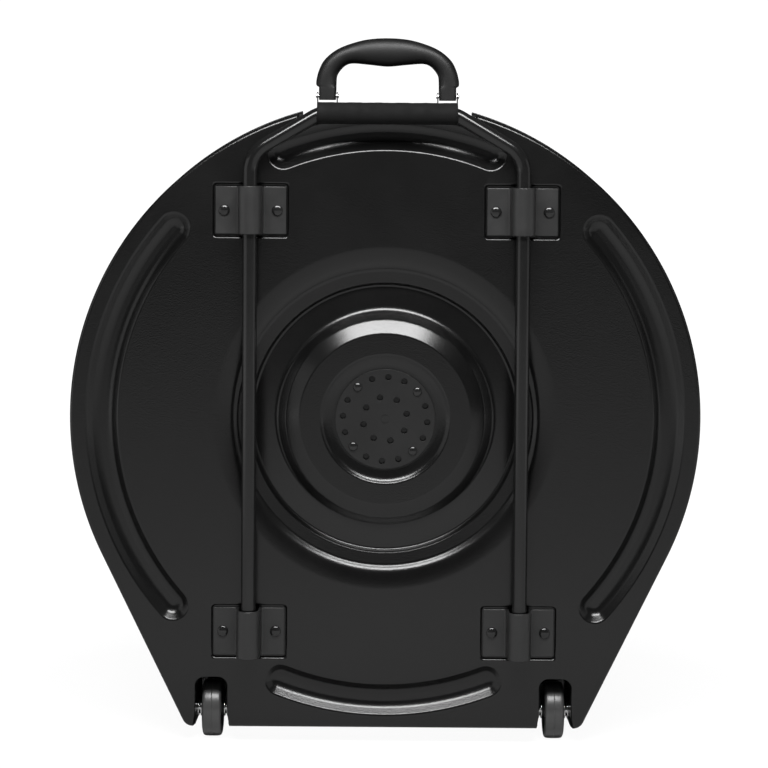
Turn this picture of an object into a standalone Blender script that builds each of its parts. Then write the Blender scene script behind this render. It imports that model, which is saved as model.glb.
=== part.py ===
"""Hard case for cymbals: two moulded shells, a sliding tow bar, a carry handle, wheels and latches.

The frame: +Z up, the back (the side with the tow bar) faces -Y, the lid faces +Y.
The origin is at the middle of the bounding box in X and Y, on the floor.
"""

import math

import bmesh
import bpy
from mathutils import Matrix, Vector

for old in list(bpy.data.objects):
    bpy.data.objects.remove(old)

MM = 0.001
DEG = math.pi / 180

# Fits and cuts
GAP = 0.3 * MM  # between two pieces that touch
OVERRUN = 3 * MM  # how far a cutter passes the face that it cuts
LAP = 1 * MM  # how far two shapes of one piece run into each other
SHARP_ANGLE = 20 * DEG  # edges bent further than this are drawn sharp

# The case's outline, seen from behind
RIM_RADIUS = 352.4 * MM  # outside of the flange at the parting line
BASE_CUT = 3.4 * MM  # how much the flat bottom takes off the circle
FLOOR_CLEARANCE = 11 * MM  # under the flat bottom
SIDE_ANGLE = 26 * DEG  # of the straight lower sides from the vertical
CORNER_RADIUS = 12 * MM
WELL_DEPTH = 23.4 * MM  # of the flat-floored well for the carry handle, below the circle's top
WELL_ROOM = 31.6 * MM  # by how much the well is wider than the handle
LEAST_STEP = 0.5 * MM
ARC_STEPS = 20
CORNER_STEPS = 4

# The shells
BACK_DEPTH = 108 * MM
LID_DEPTH = 92 * MM
PARTING_GAP = 0.6 * MM
WALL = 4.2 * MM
EDGE_ROUND = 4 * MM
INNER_ROUND = 2 * MM
FLANGE_PROUD = 3.2 * MM
FLANGE_HEIGHT = 10 * MM
FLANGE_SLOPE = 1.2 * MM
RIM_THICK = 9.5 * MM
RIM_BAND = 13 * MM
DRAFT = 4.7 * MM  # how far the wall leans in from the flange to the face

# Rim gasket in its groove in the back shell
GASKET_INSET = 4.9 * MM
GASKET_WIDTH = 1.8 * MM
GASKET_HEIGHT = 2.6 * MM

# Arc grooves in both faces
GROOVE_INSET = 42.9 * MM  # of the middle line from the rim's outside
GROOVE_WIDTH = 31 * MM
GROOVE_DEPTH = 6 * MM
SIDE_GROOVE_ANGLE = 44.5 * DEG  # half of the angle that a groove at the side spans
END_GROOVE_ANGLE = 24.2 * DEG
GROOVE_STEPS = 9
GROOVE_END_STEPS = 4
GROOVE_FLOOR_SHARES = ((0.0, 0.0), (0.6, 0.16), (1.0, 0.5))  # of depth, of half width

# The turned centre of the back: heights are above the face
VENT_SEAT_RADIUS = 57 * MM
VENT_SEAT = 0.5 * MM
BOSS_INNER = 68.7 * MM
BOSS_OUTER = 93.7 * MM
BOSS_HEIGHT = 6 * MM
BOSS_WALL = 111 * MM
BOWL_INNER = 118.3 * MM
BOWL_FLOOR = -14 * MM
BOWL_OUTER = 147 * MM
BOWL_EDGE = 148 * MM  # from here the back's dish rises to its gentle outer slope
SLOPE_INNER = 167 * MM
SLOPE_DROP = 2.7 * MM
SLOPE_FOOT = 187 * MM
SLOPE_LAP = 0.6 * MM  # how far the slope's end stands over the face before it dips in
DISH_WALL_SHARES = ((0.26, 0.5), (0.6, 0.58))  # of run, of rise
RIDGE_RADIUS = 163.5 * MM  # of the lid's centre
RIDGE_HEIGHT = 5 * MM
RIDGE_FOOT = 184.2 * MM
BOSS_SHOULDER_SHARES = ((0.6, 0.17), (1.0, 0.6))  # of the way to its wall, of the drop beside it
RIDGE_INNER_SHARES = ((0.0, 0.0), (0.2, 0.15), (0.75, 0.88), (1.0, 1.0))  # of run, of rise
RIDGE_OUTER_SHARES = ((0.2, 0.85), (1.06, -0.064))  # of the way to the foot, of the height
DISH_STEPS = 48
LID_PANEL_RADIUS = 104 * MM
LID_PANEL_HEIGHT = 2 * MM
LID_BOWL_FLOOR = -5.5 * MM
LID_PANEL_SHARES = ((0.0, 0.0), (0.12, 0.2), (0.3, 1.0))  # of the way to the bowl, of its drop

# Perforated plate on the back's centre
VENT_MARGIN = 2.5 * MM  # between the plate and the seat's edge
VENT_THICKNESS = 1.5 * MM
VENT_HOLE_RADIUS = 3.6 * MM
VENT_OUTER_MARGIN = 8.3 * MM  # from the outer circle of holes to the plate's edge
VENT_INNER_CIRCLE = 24.3 * MM
VENT_OUTER_PLACES = 16
VENT_INNER_PLACES = 8
VENT_RIVET_EVERY = 4  # each fourth place on the outer circle holds a rivet and no hole
VENT_OUTER_TURN = 49 * DEG
VENT_INNER_TURN = 31 * DEG

# Centre post and its stack, on the inside
BACKING_RADIUS = 50 * MM
BACKING_THICKNESS = 2.5 * MM
POST_RADIUS = 4 * MM
POST_LENGTH = 110 * MM
POST_FLANGE_RADIUS = 14 * MM
POST_FLANGE_THICKNESS = 4 * MM
FELT_RADIUS = 30 * MM
LOWER_FELT_THICKNESS = 20 * MM
UPPER_FELT_THICKNESS = 10 * MM
CUP_RADIUS = 19 * MM
CUP_THICKNESS = 2 * MM
NUT_RADIUS = 8 * MM
NUT_HEIGHT = 9 * MM
NUT_WING_REACH = 21 * MM
NUT_WING_THICKNESS = 3.5 * MM
NUT_WING_HEIGHT = 15 * MM

# Foam liners
FOAM_INSET = 36.4 * MM  # of the liners' edge from the rim's outside
FOAM_THICKNESS = 20 * MM
BACK_FOAM_WIDTH = 126 * MM  # from its bore to its edge
LID_FOAM_BORE = 60 * MM
FOAM_STEPS = 40

# Tow bar: a bent steel tube with its grip
TUBE_RADIUS = 8 * MM
TUBE_WALL = 1.5 * MM
TUBE_STANDOFF = 15 * MM  # of the tube's middle from the back face
LEG_SPACING = 296.2 * MM
SHOULDER_ANGLE = 30.5 * DEG  # of the slanted stretch above the level
GRIP_RISE = 3.5 * MM  # of the cross bar above the handle well's floor
GRIP_END = 3.9 * MM  # how far the sleeve reaches past the cross bar's corners
BEND_RADIUS = 34 * MM
BEND_STEPS = 5
TUBE_SIDES_RESOLUTION = 5
SLEEVE_LENGTH = 152 * MM
SLEEVE_THICKNESS = 3.9 * MM
SLEEVE_ROUND = 2 * MM
FERRULE_CLEARANCE = 0.7 * MM
FERRULE_HEIGHT = 12 * MM
SPIGOT_LENGTH = 15 * MM

# Tube clamps: pressed saddles in shallow pockets
CLAMP_WIDTH = 77 * MM
CLAMP_HEIGHT = 52 * MM
CLAMP_SHEET = 2.5 * MM
CLAMP_UPPER_INSET = 125.3 * MM  # middle of the upper clamps below the circle's top
CLAMP_LOWER_INSET = 113.3 * MM  # middle of the lower clamps above the flat bottom
SADDLE_STEPS = 8
POCKET_SIDE_ROOM = 3.6 * MM
POCKET_END_ROOM = 4.4 * MM
POCKET_DEPTH = 3.5 * MM
BUSH_WALL = 1.9 * MM
BUSH_CLEARANCE = 0.4 * MM
TOW_STOP_CLEARANCE = 1 * MM
RIVET_MARGIN = 9.6 * MM  # from a rivet's middle to the clamp's edge
RIVET_HEAD_RADIUS = 6 * MM
RIVET_HEAD_HEIGHT = 3 * MM
RIVET_SHANK_RADIUS = 2.4 * MM
RIVET_TAIL_RADIUS = 5 * MM
RIVET_TAIL_HEIGHT = 1.5 * MM
RIVET_STEPS = 10
RIVET_CROWN_SHARES = (0.6, 0.8)  # of the head's radius and height

# Carry handle in the well
HANDLE_DEPTH = 82 * MM  # behind the back face
HANDLE_WIDTH = 160.4 * MM
HANDLE_HEIGHT = 69.2 * MM
HANDLE_RISE = 22.3 * MM  # of its legs' ends above the well's floor
HANDLE_THICKNESS = 22 * MM
HANDLE_ROUND = 3 * MM
HANDLE_PIN_RISE = 4 * MM  # above the legs' ends
HANDLE_PIN_RADIUS = 1.8 * MM
HANDLE_PIN_HEAD = 2.6 * MM
HANDLE_PIN_HEAD_THICKNESS = 1 * MM
BRACKET_SHEET = 1.3 * MM
BRACKET_BASE = 2 * MM
BRACKET_LENGTH = 36 * MM
BRACKET_DEPTH = 24 * MM
BRACKET_EAR = 9 * MM
BRACKET_CLEARANCE = 0.9 * MM
# Half of the handle's outline from the top's middle outwards and back along the inside:
# shares of half of its width and of its height, and whether the corner is sharp
HANDLE_SHARES = (
    (0.29, 0.976, False),
    (0.547, 0.896, False),
    (0.742, 0.79, False),
    (0.893, 0.634, False),
    (0.968, 0.461, False),
    (1.0, 0.305, False),
    (1.0, 0.243, True),
    (0.96, 0.2, True),
    (0.96, 0.0, True),
    (0.724, 0.0, True),
    (0.716, 0.165, False),
    (0.712, 0.34, False),
    (0.667, 0.461, False),
    (0.592, 0.548, False),
    (0.4875, 0.585, False),
    (0.217, 0.556, False),
)
HANDLE_CROWN_SHARE = 1.0  # of its height, at the middle of the top
HANDLE_BELLY_SHARE = 0.539
LEG_OUTER_SHARE = 0.96
LEG_INNER_SHARE = 0.724

# Wheels in their recesses
WHEEL_RADIUS = 31.5 * MM
WHEEL_WIDTH = 21.5 * MM
WHEEL_INSET = 24.6 * MM  # of its middle from the centre of the case's bottom corner
WHEEL_DEPTH = 34 * MM  # of the axle behind the back face
TREAD_ROUND = 2.2 * MM
TYRE_THICKNESS = 9.5 * MM
HUB_RIM_THICKNESS = 3 * MM
HUB_WEB = 10 * MM
HUB_BOSS_RADIUS = 8.5 * MM
HUB_BOSS_PROUD = 1.25 * MM  # of the tyre on each side
AXLE_RADIUS = 4 * MM
AXLE_HEAD_RADIUS = 6 * MM
AXLE_HEAD_THICKNESS = 3 * MM
RECESS_SIDE_ROOM = 8.25 * MM
RECESS_TOP_ROOM = 9.4 * MM
RECESS_BACK_ROOM = 6 * MM
RECESS_ROUND = 10 * MM
WHEEL_STEPS = 32

# Rubber feet under the lid
FOOT_SPACING = 300 * MM
FOOT_DEPTH = 60 * MM  # from the parting line to the foot's middle
FOOT_TOP_RADIUS = 15 * MM
FOOT_BOTTOM_RADIUS = 12 * MM

# Hinges at the bottom
HINGE_SPACING = 220 * MM
HINGE_LENGTH = 60 * MM
HINGE_LEAF = 26 * MM
HINGE_SHEET = 1.9 * MM
HINGE_SEAT_PROUD = 0.1 * MM  # of the wall behind the flange
KNUCKLE_RADIUS = 3.4 * MM
KNUCKLE_CLEARANCE = 0.6 * MM
KNUCKLE_GAP = 0.5 * MM
LID_KNUCKLE = 21 * MM
LEAF_CLEARANCE = 0.8 * MM
HINGE_PIN_RADIUS = 1.5 * MM
HINGE_PIN_HEAD = 2.5 * MM
HINGE_PIN_HEAD_THICKNESS = 1.2 * MM

# Latches: a lever pinned to the lid hooks over a rib of the back shell.
# Depths are from the parting line, heights above the latch's seat.
LATCH_SEAT_SUNK = 0.4 * MM  # into the wall behind the flange
LATCH_RELIEF_ROOM = 6 * MM
LATCH_BASE_WIDTH = 44 * MM
LATCH_BASE_SHEET = 2 * MM
LATCH_BASE_NEAR = 10 * MM
LATCH_BASE_FAR = 34 * MM
LATCH_EAR = 4 * MM
LATCH_EAR_LENGTH = 10 * MM
LATCH_PIVOT_DEPTH = 24 * MM
LATCH_BARREL_RADIUS = 3.2 * MM
LATCH_PIN_RADIUS = 1.3 * MM
LATCH_CLEARANCE = 0.5 * MM
LATCH_ARM_CLEARANCE = 0.6 * MM  # above the rib
LATCH_ARM_THICKNESS = 2.6 * MM
LATCH_LIP_THICKNESS = 2.8 * MM
LATCH_LIP_LOW = 2.8 * MM
LATCH_TAB_REACH = 17 * MM
KEEPER_WIDTH = 34 * MM
KEEPER_NEAR = 7 * MM
KEEPER_THICKNESS = 2.5 * MM
KEEPER_HEIGHT = 4.8 * MM

# Sizes and places that follow
RIM_DROP = RIM_RADIUS - BASE_CUT  # from the circle's centre to the flat bottom
CENTRE_HEIGHT = RIM_DROP + FLOOR_CLEARANCE
WELL_WIDTH = HANDLE_WIDTH + WELL_ROOM
WELL_FLOOR = RIM_RADIUS - WELL_DEPTH  # above the circle's centre
CORNER_X = (
    RIM_RADIUS - CORNER_RADIUS - (RIM_DROP - CORNER_RADIUS) * math.sin(SIDE_ANGLE)
) / math.cos(SIDE_ANGLE)
GROOVE_RADIUS = RIM_RADIUS - GROOVE_INSET
FOAM_RADIUS = RIM_RADIUS - FOAM_INSET
BACK_FOAM_BORE = FOAM_RADIUS - BACK_FOAM_WIDTH
VENT_RADIUS = VENT_SEAT_RADIUS - VENT_MARGIN
VENT_OUTER_CIRCLE = VENT_RADIUS - VENT_OUTER_MARGIN
GRIP_HEIGHT = WELL_FLOOR + GRIP_RISE  # above the circle's centre
GRIP_CORNER = SLEEVE_LENGTH / 2 - GRIP_END  # where the cross bar meets the slanted stretch
SLEEVE_RADIUS = TUBE_RADIUS + SLEEVE_THICKNESS
SADDLE_BORE = TUBE_RADIUS + BUSH_CLEARANCE + BUSH_WALL + GAP
FERRULE_RADIUS = SADDLE_BORE - FERRULE_CLEARANCE
CLAMP_UPPER = RIM_RADIUS - CLAMP_UPPER_INSET
CLAMP_LOWER = RIM_DROP - CLAMP_LOWER_INSET
POCKET_WIDTH = CLAMP_WIDTH + 2 * POCKET_SIDE_ROOM
POCKET_HEIGHT = CLAMP_HEIGHT + 2 * POCKET_END_ROOM
RIVET_SPACING = CLAMP_WIDTH - 2 * RIVET_MARGIN
HANDLE_BOTTOM = WELL_FLOOR + HANDLE_RISE
HANDLE_PIN_HEIGHT = HANDLE_BOTTOM + HANDLE_PIN_RISE
HUB_RADIUS = WHEEL_RADIUS - TYRE_THICKNESS
HUB_BOSS_LENGTH = WHEEL_WIDTH + 2 * HUB_BOSS_PROUD
RECESS_WIDTH = WHEEL_WIDTH + 2 * RECESS_SIDE_ROOM
RECESS_TOP = 2 * WHEEL_RADIUS + RECESS_TOP_ROOM  # above the floor
RECESS_DEPTH = WHEEL_DEPTH + WHEEL_RADIUS + RECESS_BACK_ROOM
HINGE_SEAT = FLANGE_PROUD - HINGE_SEAT_PROUD  # above the flange's bottom
KNUCKLE_DROP = KNUCKLE_RADIUS + KNUCKLE_CLEARANCE  # of the hinge axis below the seat
LATCH_SEAT = FLANGE_PROUD + LATCH_SEAT_SUNK  # below the rim's outside
LATCH_RELIEF_WIDTH = LATCH_BASE_WIDTH + 2 * LATCH_RELIEF_ROOM
LATCH_PIVOT_HEIGHT = GAP + LATCH_BASE_SHEET + LATCH_CLEARANCE + LATCH_BARREL_RADIUS
LATCH_LEVER_WIDTH = LATCH_BASE_WIDTH - 2 * LATCH_EAR - 2 * LATCH_CLEARANCE
LATCH_ARM_LOW = KEEPER_HEIGHT + LATCH_ARM_CLEARANCE
LATCH_ARM_HIGH = LATCH_ARM_LOW + LATCH_ARM_THICKNESS
LATCH_LIP_NEAR = KEEPER_NEAR + KEEPER_THICKNESS + LATCH_CLEARANCE
SADDLE_OUTER = SADDLE_BORE + CLAMP_SHEET
FRONT_REACH = TUBE_STANDOFF + SADDLE_OUTER
TOTAL_DEPTH = FRONT_REACH + BACK_DEPTH + PARTING_GAP + LID_DEPTH + RIDGE_HEIGHT
BACK_FACE_Y = FRONT_REACH - TOTAL_DEPTH / 2
PARTING_Y = BACK_FACE_Y + BACK_DEPTH
LID_RIM_Y = PARTING_Y + PARTING_GAP
LID_FACE_Y = LID_RIM_Y + LID_DEPTH
LEG_X = LEG_SPACING / 2
TUBE_Y = BACK_FACE_Y - TUBE_STANDOFF
POCKET_FLOOR_Y = BACK_FACE_Y + POCKET_DEPTH
UPPER_CLAMP_Z = CENTRE_HEIGHT + CLAMP_UPPER
LOWER_CLAMP_Z = CENTRE_HEIGHT - CLAMP_LOWER
TUBE_END_Z = LOWER_CLAMP_Z - CLAMP_HEIGHT / 2 + CLAMP_SHEET + LAP + GAP
TOW_TRAVEL = (
    UPPER_CLAMP_Z - CLAMP_HEIGHT / 2 - TUBE_END_Z - FERRULE_HEIGHT - TOW_STOP_CLEARANCE
)
HANDLE_Y = BACK_FACE_Y + HANDLE_DEPTH
HANDLE_PIN_Z = CENTRE_HEIGHT + HANDLE_PIN_HEIGHT
WHEEL_X = CORNER_X - WHEEL_INSET
AXLE_Y = BACK_FACE_Y + WHEEL_DEPTH
HINGE_SEAT_Z = CENTRE_HEIGHT - RIM_DROP + HINGE_SEAT
HINGE_AXIS_Z = HINGE_SEAT_Z - KNUCKLE_DROP
HINGE_AXIS_Y = PARTING_Y + PARTING_GAP / 2

# Turned shapes rise along their own +Z, which these turn to another way
UP = (0, 0, 0)
BACKWARD = (math.pi / 2, 0, 0)
FORWARD = (-math.pi / 2, 0, 0)
SIDEWAYS = (0, math.pi / 2, 0)


def collection(name):
    made = bpy.data.collections.new(name)
    bpy.context.scene.collection.children.link(made)
    return made


CASE = collection("cymbal_case")
CUTTERS = collection("cutters")


def material(name, colour, roughness, metallic=0.0):
    made = bpy.data.materials.new(name)
    made.use_nodes = True
    shader = made.node_tree.nodes["Principled BSDF"]
    shader.inputs["Base Color"].default_value = (*colour, 1.0)
    shader.inputs["Roughness"].default_value = roughness
    shader.inputs["Metallic"].default_value = metallic
    return made


SHELL_PLASTIC = material("shell_plastic", (0.020, 0.020, 0.021), 0.42)
POWDER_COAT = material("powder_coat", (0.045, 0.045, 0.045), 0.6, 0.4)
TUBE_PAINT = material("tube_paint", (0.018, 0.018, 0.018), 0.35, 0.4)
SLEEVE_FOAM = material("sleeve_foam", (0.032, 0.032, 0.033), 0.85)
HANDLE_RUBBER = material("handle_rubber", (0.028, 0.028, 0.029), 0.55)
CHROME = material("chrome", (0.78, 0.78, 0.8), 0.12, 1.0)
STEEL = material("zinc_steel", (0.55, 0.55, 0.56), 0.35, 1.0)
TYRE_RUBBER = material("tyre_rubber", (0.045, 0.045, 0.046), 0.5)
HUB_PLASTIC = material("hub_plastic", (0.03, 0.03, 0.03), 0.5)
LINER_FOAM = material("liner_foam", (0.055, 0.055, 0.058), 0.9)
FELT = material("felt", (0.16, 0.16, 0.165), 0.95)
SEAL_RUBBER = material("seal_rubber", (0.02, 0.02, 0.02), 0.7)
RIVET_BLACK = material("rivet_black", (0.016, 0.016, 0.016), 0.2, 0.5)
LATCH_PLASTIC = material("latch_plastic", (0.022, 0.022, 0.023), 0.45)


def shape(name, mesh, location=(0, 0, 0), rotation=(0, 0, 0)):
    """A helper object that cuts or joins others; it isn't a part of the case."""
    made = bpy.data.objects.new(name, mesh)
    made.location = location
    made.rotation_euler = rotation
    made.hide_render = True
    made.display_type = "WIRE"
    CUTTERS.objects.link(made)
    return made


def loft(name, rings):
    """A closed skin through rings of equally many points, with a flat cap at both ends."""
    body = bmesh.new()
    loops = [[body.verts.new(point) for point in ring] for ring in rings]
    for near, far in zip(loops, loops[1:]):
        for i in range(len(near)):
            j = (i + 1) % len(near)
            body.faces.new((near[i], near[j], far[j], far[i]))
    body.faces.new(loops[0])
    body.faces.new(loops[-1])
    bmesh.ops.recalc_face_normals(body, faces=body.faces)
    mesh = bpy.data.meshes.new(name)
    body.to_mesh(mesh)
    body.free()
    return shape(name, mesh)


def box(name, low, high, location=(0, 0, 0), rotation=(0, 0, 0)):
    """A box between two corners."""
    low = Vector(low)
    high = Vector(high)
    size = high - low
    place = Matrix.Translation((low + high) / 2) @ Matrix.Diagonal((*size, 1))
    body = bmesh.new()
    bmesh.ops.create_cube(body, size=1, matrix=place)
    mesh = bpy.data.meshes.new(name)
    body.to_mesh(mesh)
    body.free()
    return shape(name, mesh, location, rotation)


def cylinder(name, radius, length, steps, location, rotation=UP):
    """A cylinder centred on its location, along its own Z."""
    body = bmesh.new()
    bmesh.ops.create_cone(
        body, cap_ends=True, segments=steps, radius1=radius, radius2=radius, depth=length
    )
    mesh = bpy.data.meshes.new(name)
    body.to_mesh(mesh)
    body.free()
    return shape(name, mesh, location, rotation)


def turned(name, profile, steps, location=(0, 0, 0), rotation=UP, ring=False):
    """A profile of (radius, height) points turned about its own Z. A ring's profile closes."""
    body = bmesh.new()
    points = [body.verts.new((radius, 0, height)) for radius, height in profile]
    for near, far in zip(points, points[1:]):
        body.edges.new((near, far))
    if ring:
        body.edges.new((points[-1], points[0]))
    mesh = bpy.data.meshes.new(name)
    body.to_mesh(mesh)
    body.free()
    made = shape(name, mesh, location, rotation)
    screw = made.modifiers.new("turn", "SCREW")
    screw.axis = "Z"
    screw.angle = 2 * math.pi
    screw.steps = steps
    screw.render_steps = steps
    screw.use_merge_vertices = True
    screw.merge_threshold = 0.00001
    return made


def closed_mesh(source, name):
    """The evaluated shape of an object as one welded mesh in world places."""
    bpy.context.view_layer.update()
    graph = bpy.context.evaluated_depsgraph_get()
    mesh = bpy.data.meshes.new_from_object(source.evaluated_get(graph))
    mesh.transform(source.matrix_world)
    body = bmesh.new()
    body.from_mesh(mesh)
    bmesh.ops.remove_doubles(body, verts=body.verts, dist=0.000001)
    body.to_mesh(mesh)
    body.free()
    mesh.name = name
    return mesh


def from_curve(name, curve, rotation=(0, 0, 0), location=(0, 0, 0)):
    """A curve made a mesh shape, because curves can't be cut or joined."""
    made = bpy.data.objects.new(name, curve)
    made.location = location
    made.rotation_euler = rotation
    CUTTERS.objects.link(made)
    mesh = closed_mesh(made, name)
    bpy.data.objects.remove(made)
    return shape(name, mesh)


def tube(name, path, radius):
    """A round bar along a path of points."""
    curve = bpy.data.curves.new(name, "CURVE")
    curve.dimensions = "3D"
    curve.bevel_depth = radius
    curve.bevel_resolution = TUBE_SIDES_RESOLUTION
    curve.use_fill_caps = True
    spline = curve.splines.new("POLY")
    spline.points.add(len(path) - 1)
    for point, place in zip(spline.points, path):
        point.co = (*place, 1)
    return from_curve(name, curve)


def boolean(target, operation, *others):
    for other in others:
        modifier = target.modifiers.new(other.name, "BOOLEAN")
        modifier.operation = operation
        modifier.object = other
        modifier.solver = "EXACT"


def cut(target, *others):
    boolean(target, "DIFFERENCE", *others)


def join(target, *others):
    boolean(target, "UNION", *others)


def piece(name, body, finish, origin=(0, 0, 0), used=()):
    """The named sub-part that a shape stands for, with its origin at a given place."""
    mesh = closed_mesh(body, name)
    mesh.transform(Matrix.Translation(-Vector(origin)))
    mesh.materials.clear()
    mesh.materials.append(finish)
    mesh.shade_smooth()
    mesh.set_sharp_from_angle(angle=SHARP_ANGLE)
    for other in (body, *used):
        bpy.data.objects.remove(other)
    made = bpy.data.objects.new(name, mesh)
    made.location = origin
    CASE.objects.link(made)
    return made


def arc(centre_x, centre_z, radius, start, end, steps):
    """Points on a circle from one angle to another, both ends included."""
    return [
        (
            centre_x + radius * math.cos(start + (end - start) * i / steps),
            centre_z + radius * math.sin(start + (end - start) * i / steps),
        )
        for i in range(steps + 1)
    ]


def case_outline(inset, wall, y):
    """The case's outline at one depth: inset is draft and flange, wall an offset all round."""
    radius = RIM_RADIUS - inset - wall
    drop = RIM_DROP - inset - wall
    corner = max(CORNER_RADIUS - wall, LEAST_STEP)
    well_side = WELL_WIDTH / 2 + wall
    lip = math.sqrt(radius**2 - well_side**2)
    floor = min(WELL_FLOOR - wall, lip - LEAST_STEP)
    corner_z = corner - drop
    corner_x = (radius - corner + corner_z * math.sin(SIDE_ANGLE)) / math.cos(SIDE_ANGLE)
    half = [(well_side, floor)]
    half += arc(0, 0, radius, math.atan2(lip, well_side), -SIDE_ANGLE, ARC_STEPS)
    half += arc(corner_x, corner_z, corner, -SIDE_ANGLE, -math.pi / 2, CORNER_STEPS)
    outline = half + [(-x, z) for x, z in reversed(half)]
    return [(x, y, CENTRE_HEIGHT + z) for x, z in outline]


def tub(name, face_y, depth, inward):
    """The outside of one shell, from its face to its rim; inward is the way into it along Y."""
    wall_inset = FLANGE_PROUD + DRAFT
    chamfer = EDGE_ROUND * (1 - math.cos(math.pi / 4))
    draft_at_round = DRAFT * EDGE_ROUND / depth
    draft_at_flange = DRAFT * FLANGE_HEIGHT / depth
    sections = (
        (0, wall_inset, EDGE_ROUND),
        (chamfer, wall_inset, chamfer),
        (EDGE_ROUND, wall_inset - draft_at_round, 0),
        (depth - FLANGE_HEIGHT - FLANGE_SLOPE, FLANGE_PROUD + draft_at_flange, 0),
        (depth - FLANGE_HEIGHT, 0, 0),
        (depth, 0, 0),
    )
    return loft(name, [case_outline(i, w, face_y + inward * d) for d, i, w in sections])


def cavity(name, face_y, depth, inward):
    """The room inside one shell, running out past its rim."""
    wall_inset = FLANGE_PROUD + DRAFT
    sections = (
        (WALL, wall_inset, WALL + INNER_ROUND),
        (WALL + INNER_ROUND, wall_inset, WALL),
        (depth - RIM_BAND, FLANGE_PROUD, WALL),
        (depth - RIM_BAND + INNER_ROUND, 0, RIM_THICK),
        (depth + OVERRUN, 0, RIM_THICK),
    )
    return loft(name, [case_outline(i, w, face_y + inward * d) for d, i, w in sections])


def slot_outline(middle, half_angle, half_width, y):
    """An arc slot with round ends, about the case's centre."""
    half = half_angle - half_width / GROOVE_RADIUS
    outer = arc(0, 0, GROOVE_RADIUS + half_width, middle - half, middle + half, GROOVE_STEPS)
    inner = arc(0, 0, GROOVE_RADIUS - half_width, middle + half, middle - half, GROOVE_STEPS)
    outline = list(outer)
    for side, turn in ((1, 0), (-1, math.pi)):
        angle = middle + side * half
        end = arc(
            GROOVE_RADIUS * math.cos(angle),
            GROOVE_RADIUS * math.sin(angle),
            half_width,
            angle + turn,
            angle + turn + math.pi,
            GROOVE_END_STEPS,
        )
        outline += end[1:-1]
        outline += inner if side > 0 else []
    return [(x, y, CENTRE_HEIGHT + z) for x, z in outline]


def grooves(name, face_y, inward):
    """The four arc grooves of one face as cutters, and the wall that stays behind each."""
    cuts = []
    backs = []
    spans = (SIDE_GROOVE_ANGLE, END_GROOVE_ANGLE, SIDE_GROOVE_ANGLE, END_GROOVE_ANGLE)
    for i, span in enumerate(spans):
        middle = i * math.pi / 2
        half = GROOVE_WIDTH / 2
        rings = [slot_outline(middle, span, half, face_y - inward * OVERRUN)]
        for deep, narrow in GROOVE_FLOOR_SHARES:
            width = half * (1 - narrow)
            angle = span - (half - width) / GROOVE_RADIUS
            y = face_y + inward * deep * GROOVE_DEPTH
            rings.append(slot_outline(middle, angle, width, y))
        cuts.append(loft(f"{name}_groove_{i}", rings))
        grown = span + WALL / GROOVE_RADIUS
        behind = face_y + inward * (GROOVE_DEPTH + WALL)
        back_rings = [
            slot_outline(middle, grown, half + WALL, face_y),
            slot_outline(middle, grown - WALL / GROOVE_RADIUS, half, behind),
        ]
        backs.append(loft(f"{name}_groove_back_{i}", back_rings))
    return cuts, backs


def dish(name, outline, face_y, rotation):
    """A turned centre with an even wall behind its outline, which ends inside the face."""
    behind = [(radius, height - WALL) for radius, height in reversed(outline[:-1])]
    ring_end = (outline[-1][0], outline[-1][1] - LAP)
    profile = [*outline, ring_end, *behind]
    place = (0, face_y, CENTRE_HEIGHT)
    return turned(name, profile, DISH_STEPS, place, rotation)


def ridge(bowl_rim):
    """Outline of the lid's centre, from the bowl's outer edge out to the ridge's foot."""
    rise = RIDGE_HEIGHT - bowl_rim
    run = RIDGE_RADIUS - BOWL_OUTER
    outer_run = RIDGE_FOOT - RIDGE_RADIUS
    inner = [(BOWL_OUTER + a * run, bowl_rim + b * rise) for a, b in RIDGE_INNER_SHARES]
    outer = [(RIDGE_RADIUS + a * outer_run, b * RIDGE_HEIGHT) for a, b in RIDGE_OUTER_SHARES]
    return inner + outer


# The back shell
back_shell = tub("back_shell_outside", BACK_FACE_Y, BACK_DEPTH, 1)
back_cavity = cavity("back_cavity", BACK_FACE_Y, BACK_DEPTH, 1)
back_cuts, back_backs = grooves("back", BACK_FACE_Y, 1)

boss_drop = BOSS_HEIGHT - BOWL_FLOOR
back_dish = dish(
    "back_dish",
    [
        (0, VENT_SEAT),
        (VENT_SEAT_RADIUS, VENT_SEAT),
        (BOSS_INNER, BOSS_HEIGHT),
        (BOSS_OUTER, BOSS_HEIGHT),
        *[
            (BOSS_OUTER + a * (BOSS_WALL - BOSS_OUTER), BOSS_HEIGHT - b * boss_drop)
            for a, b in BOSS_SHOULDER_SHARES
        ],
        (BOWL_INNER, BOWL_FLOOR),
        (BOWL_EDGE, BOWL_FLOOR),
        *[
            (
                BOWL_EDGE + a * (SLOPE_INNER - BOWL_EDGE),
                BOWL_FLOOR + b * (-SLOPE_DROP - BOWL_FLOOR),
            )
            for a, b in DISH_WALL_SHARES
        ],
        (SLOPE_INNER, -SLOPE_DROP),
        (SLOPE_FOOT, SLOPE_LAP),
        (SLOPE_FOOT + 4 * LAP, -SLOPE_LAP),
    ],
    BACK_FACE_Y,
    BACKWARD,
)
dish_hole = cylinder(
    "dish_hole",
    SLOPE_FOOT - 2 * LAP,
    BACK_DEPTH,
    DISH_STEPS,
    (0, BACK_FACE_Y, CENTRE_HEIGHT),
    BACKWARD,
)

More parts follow.
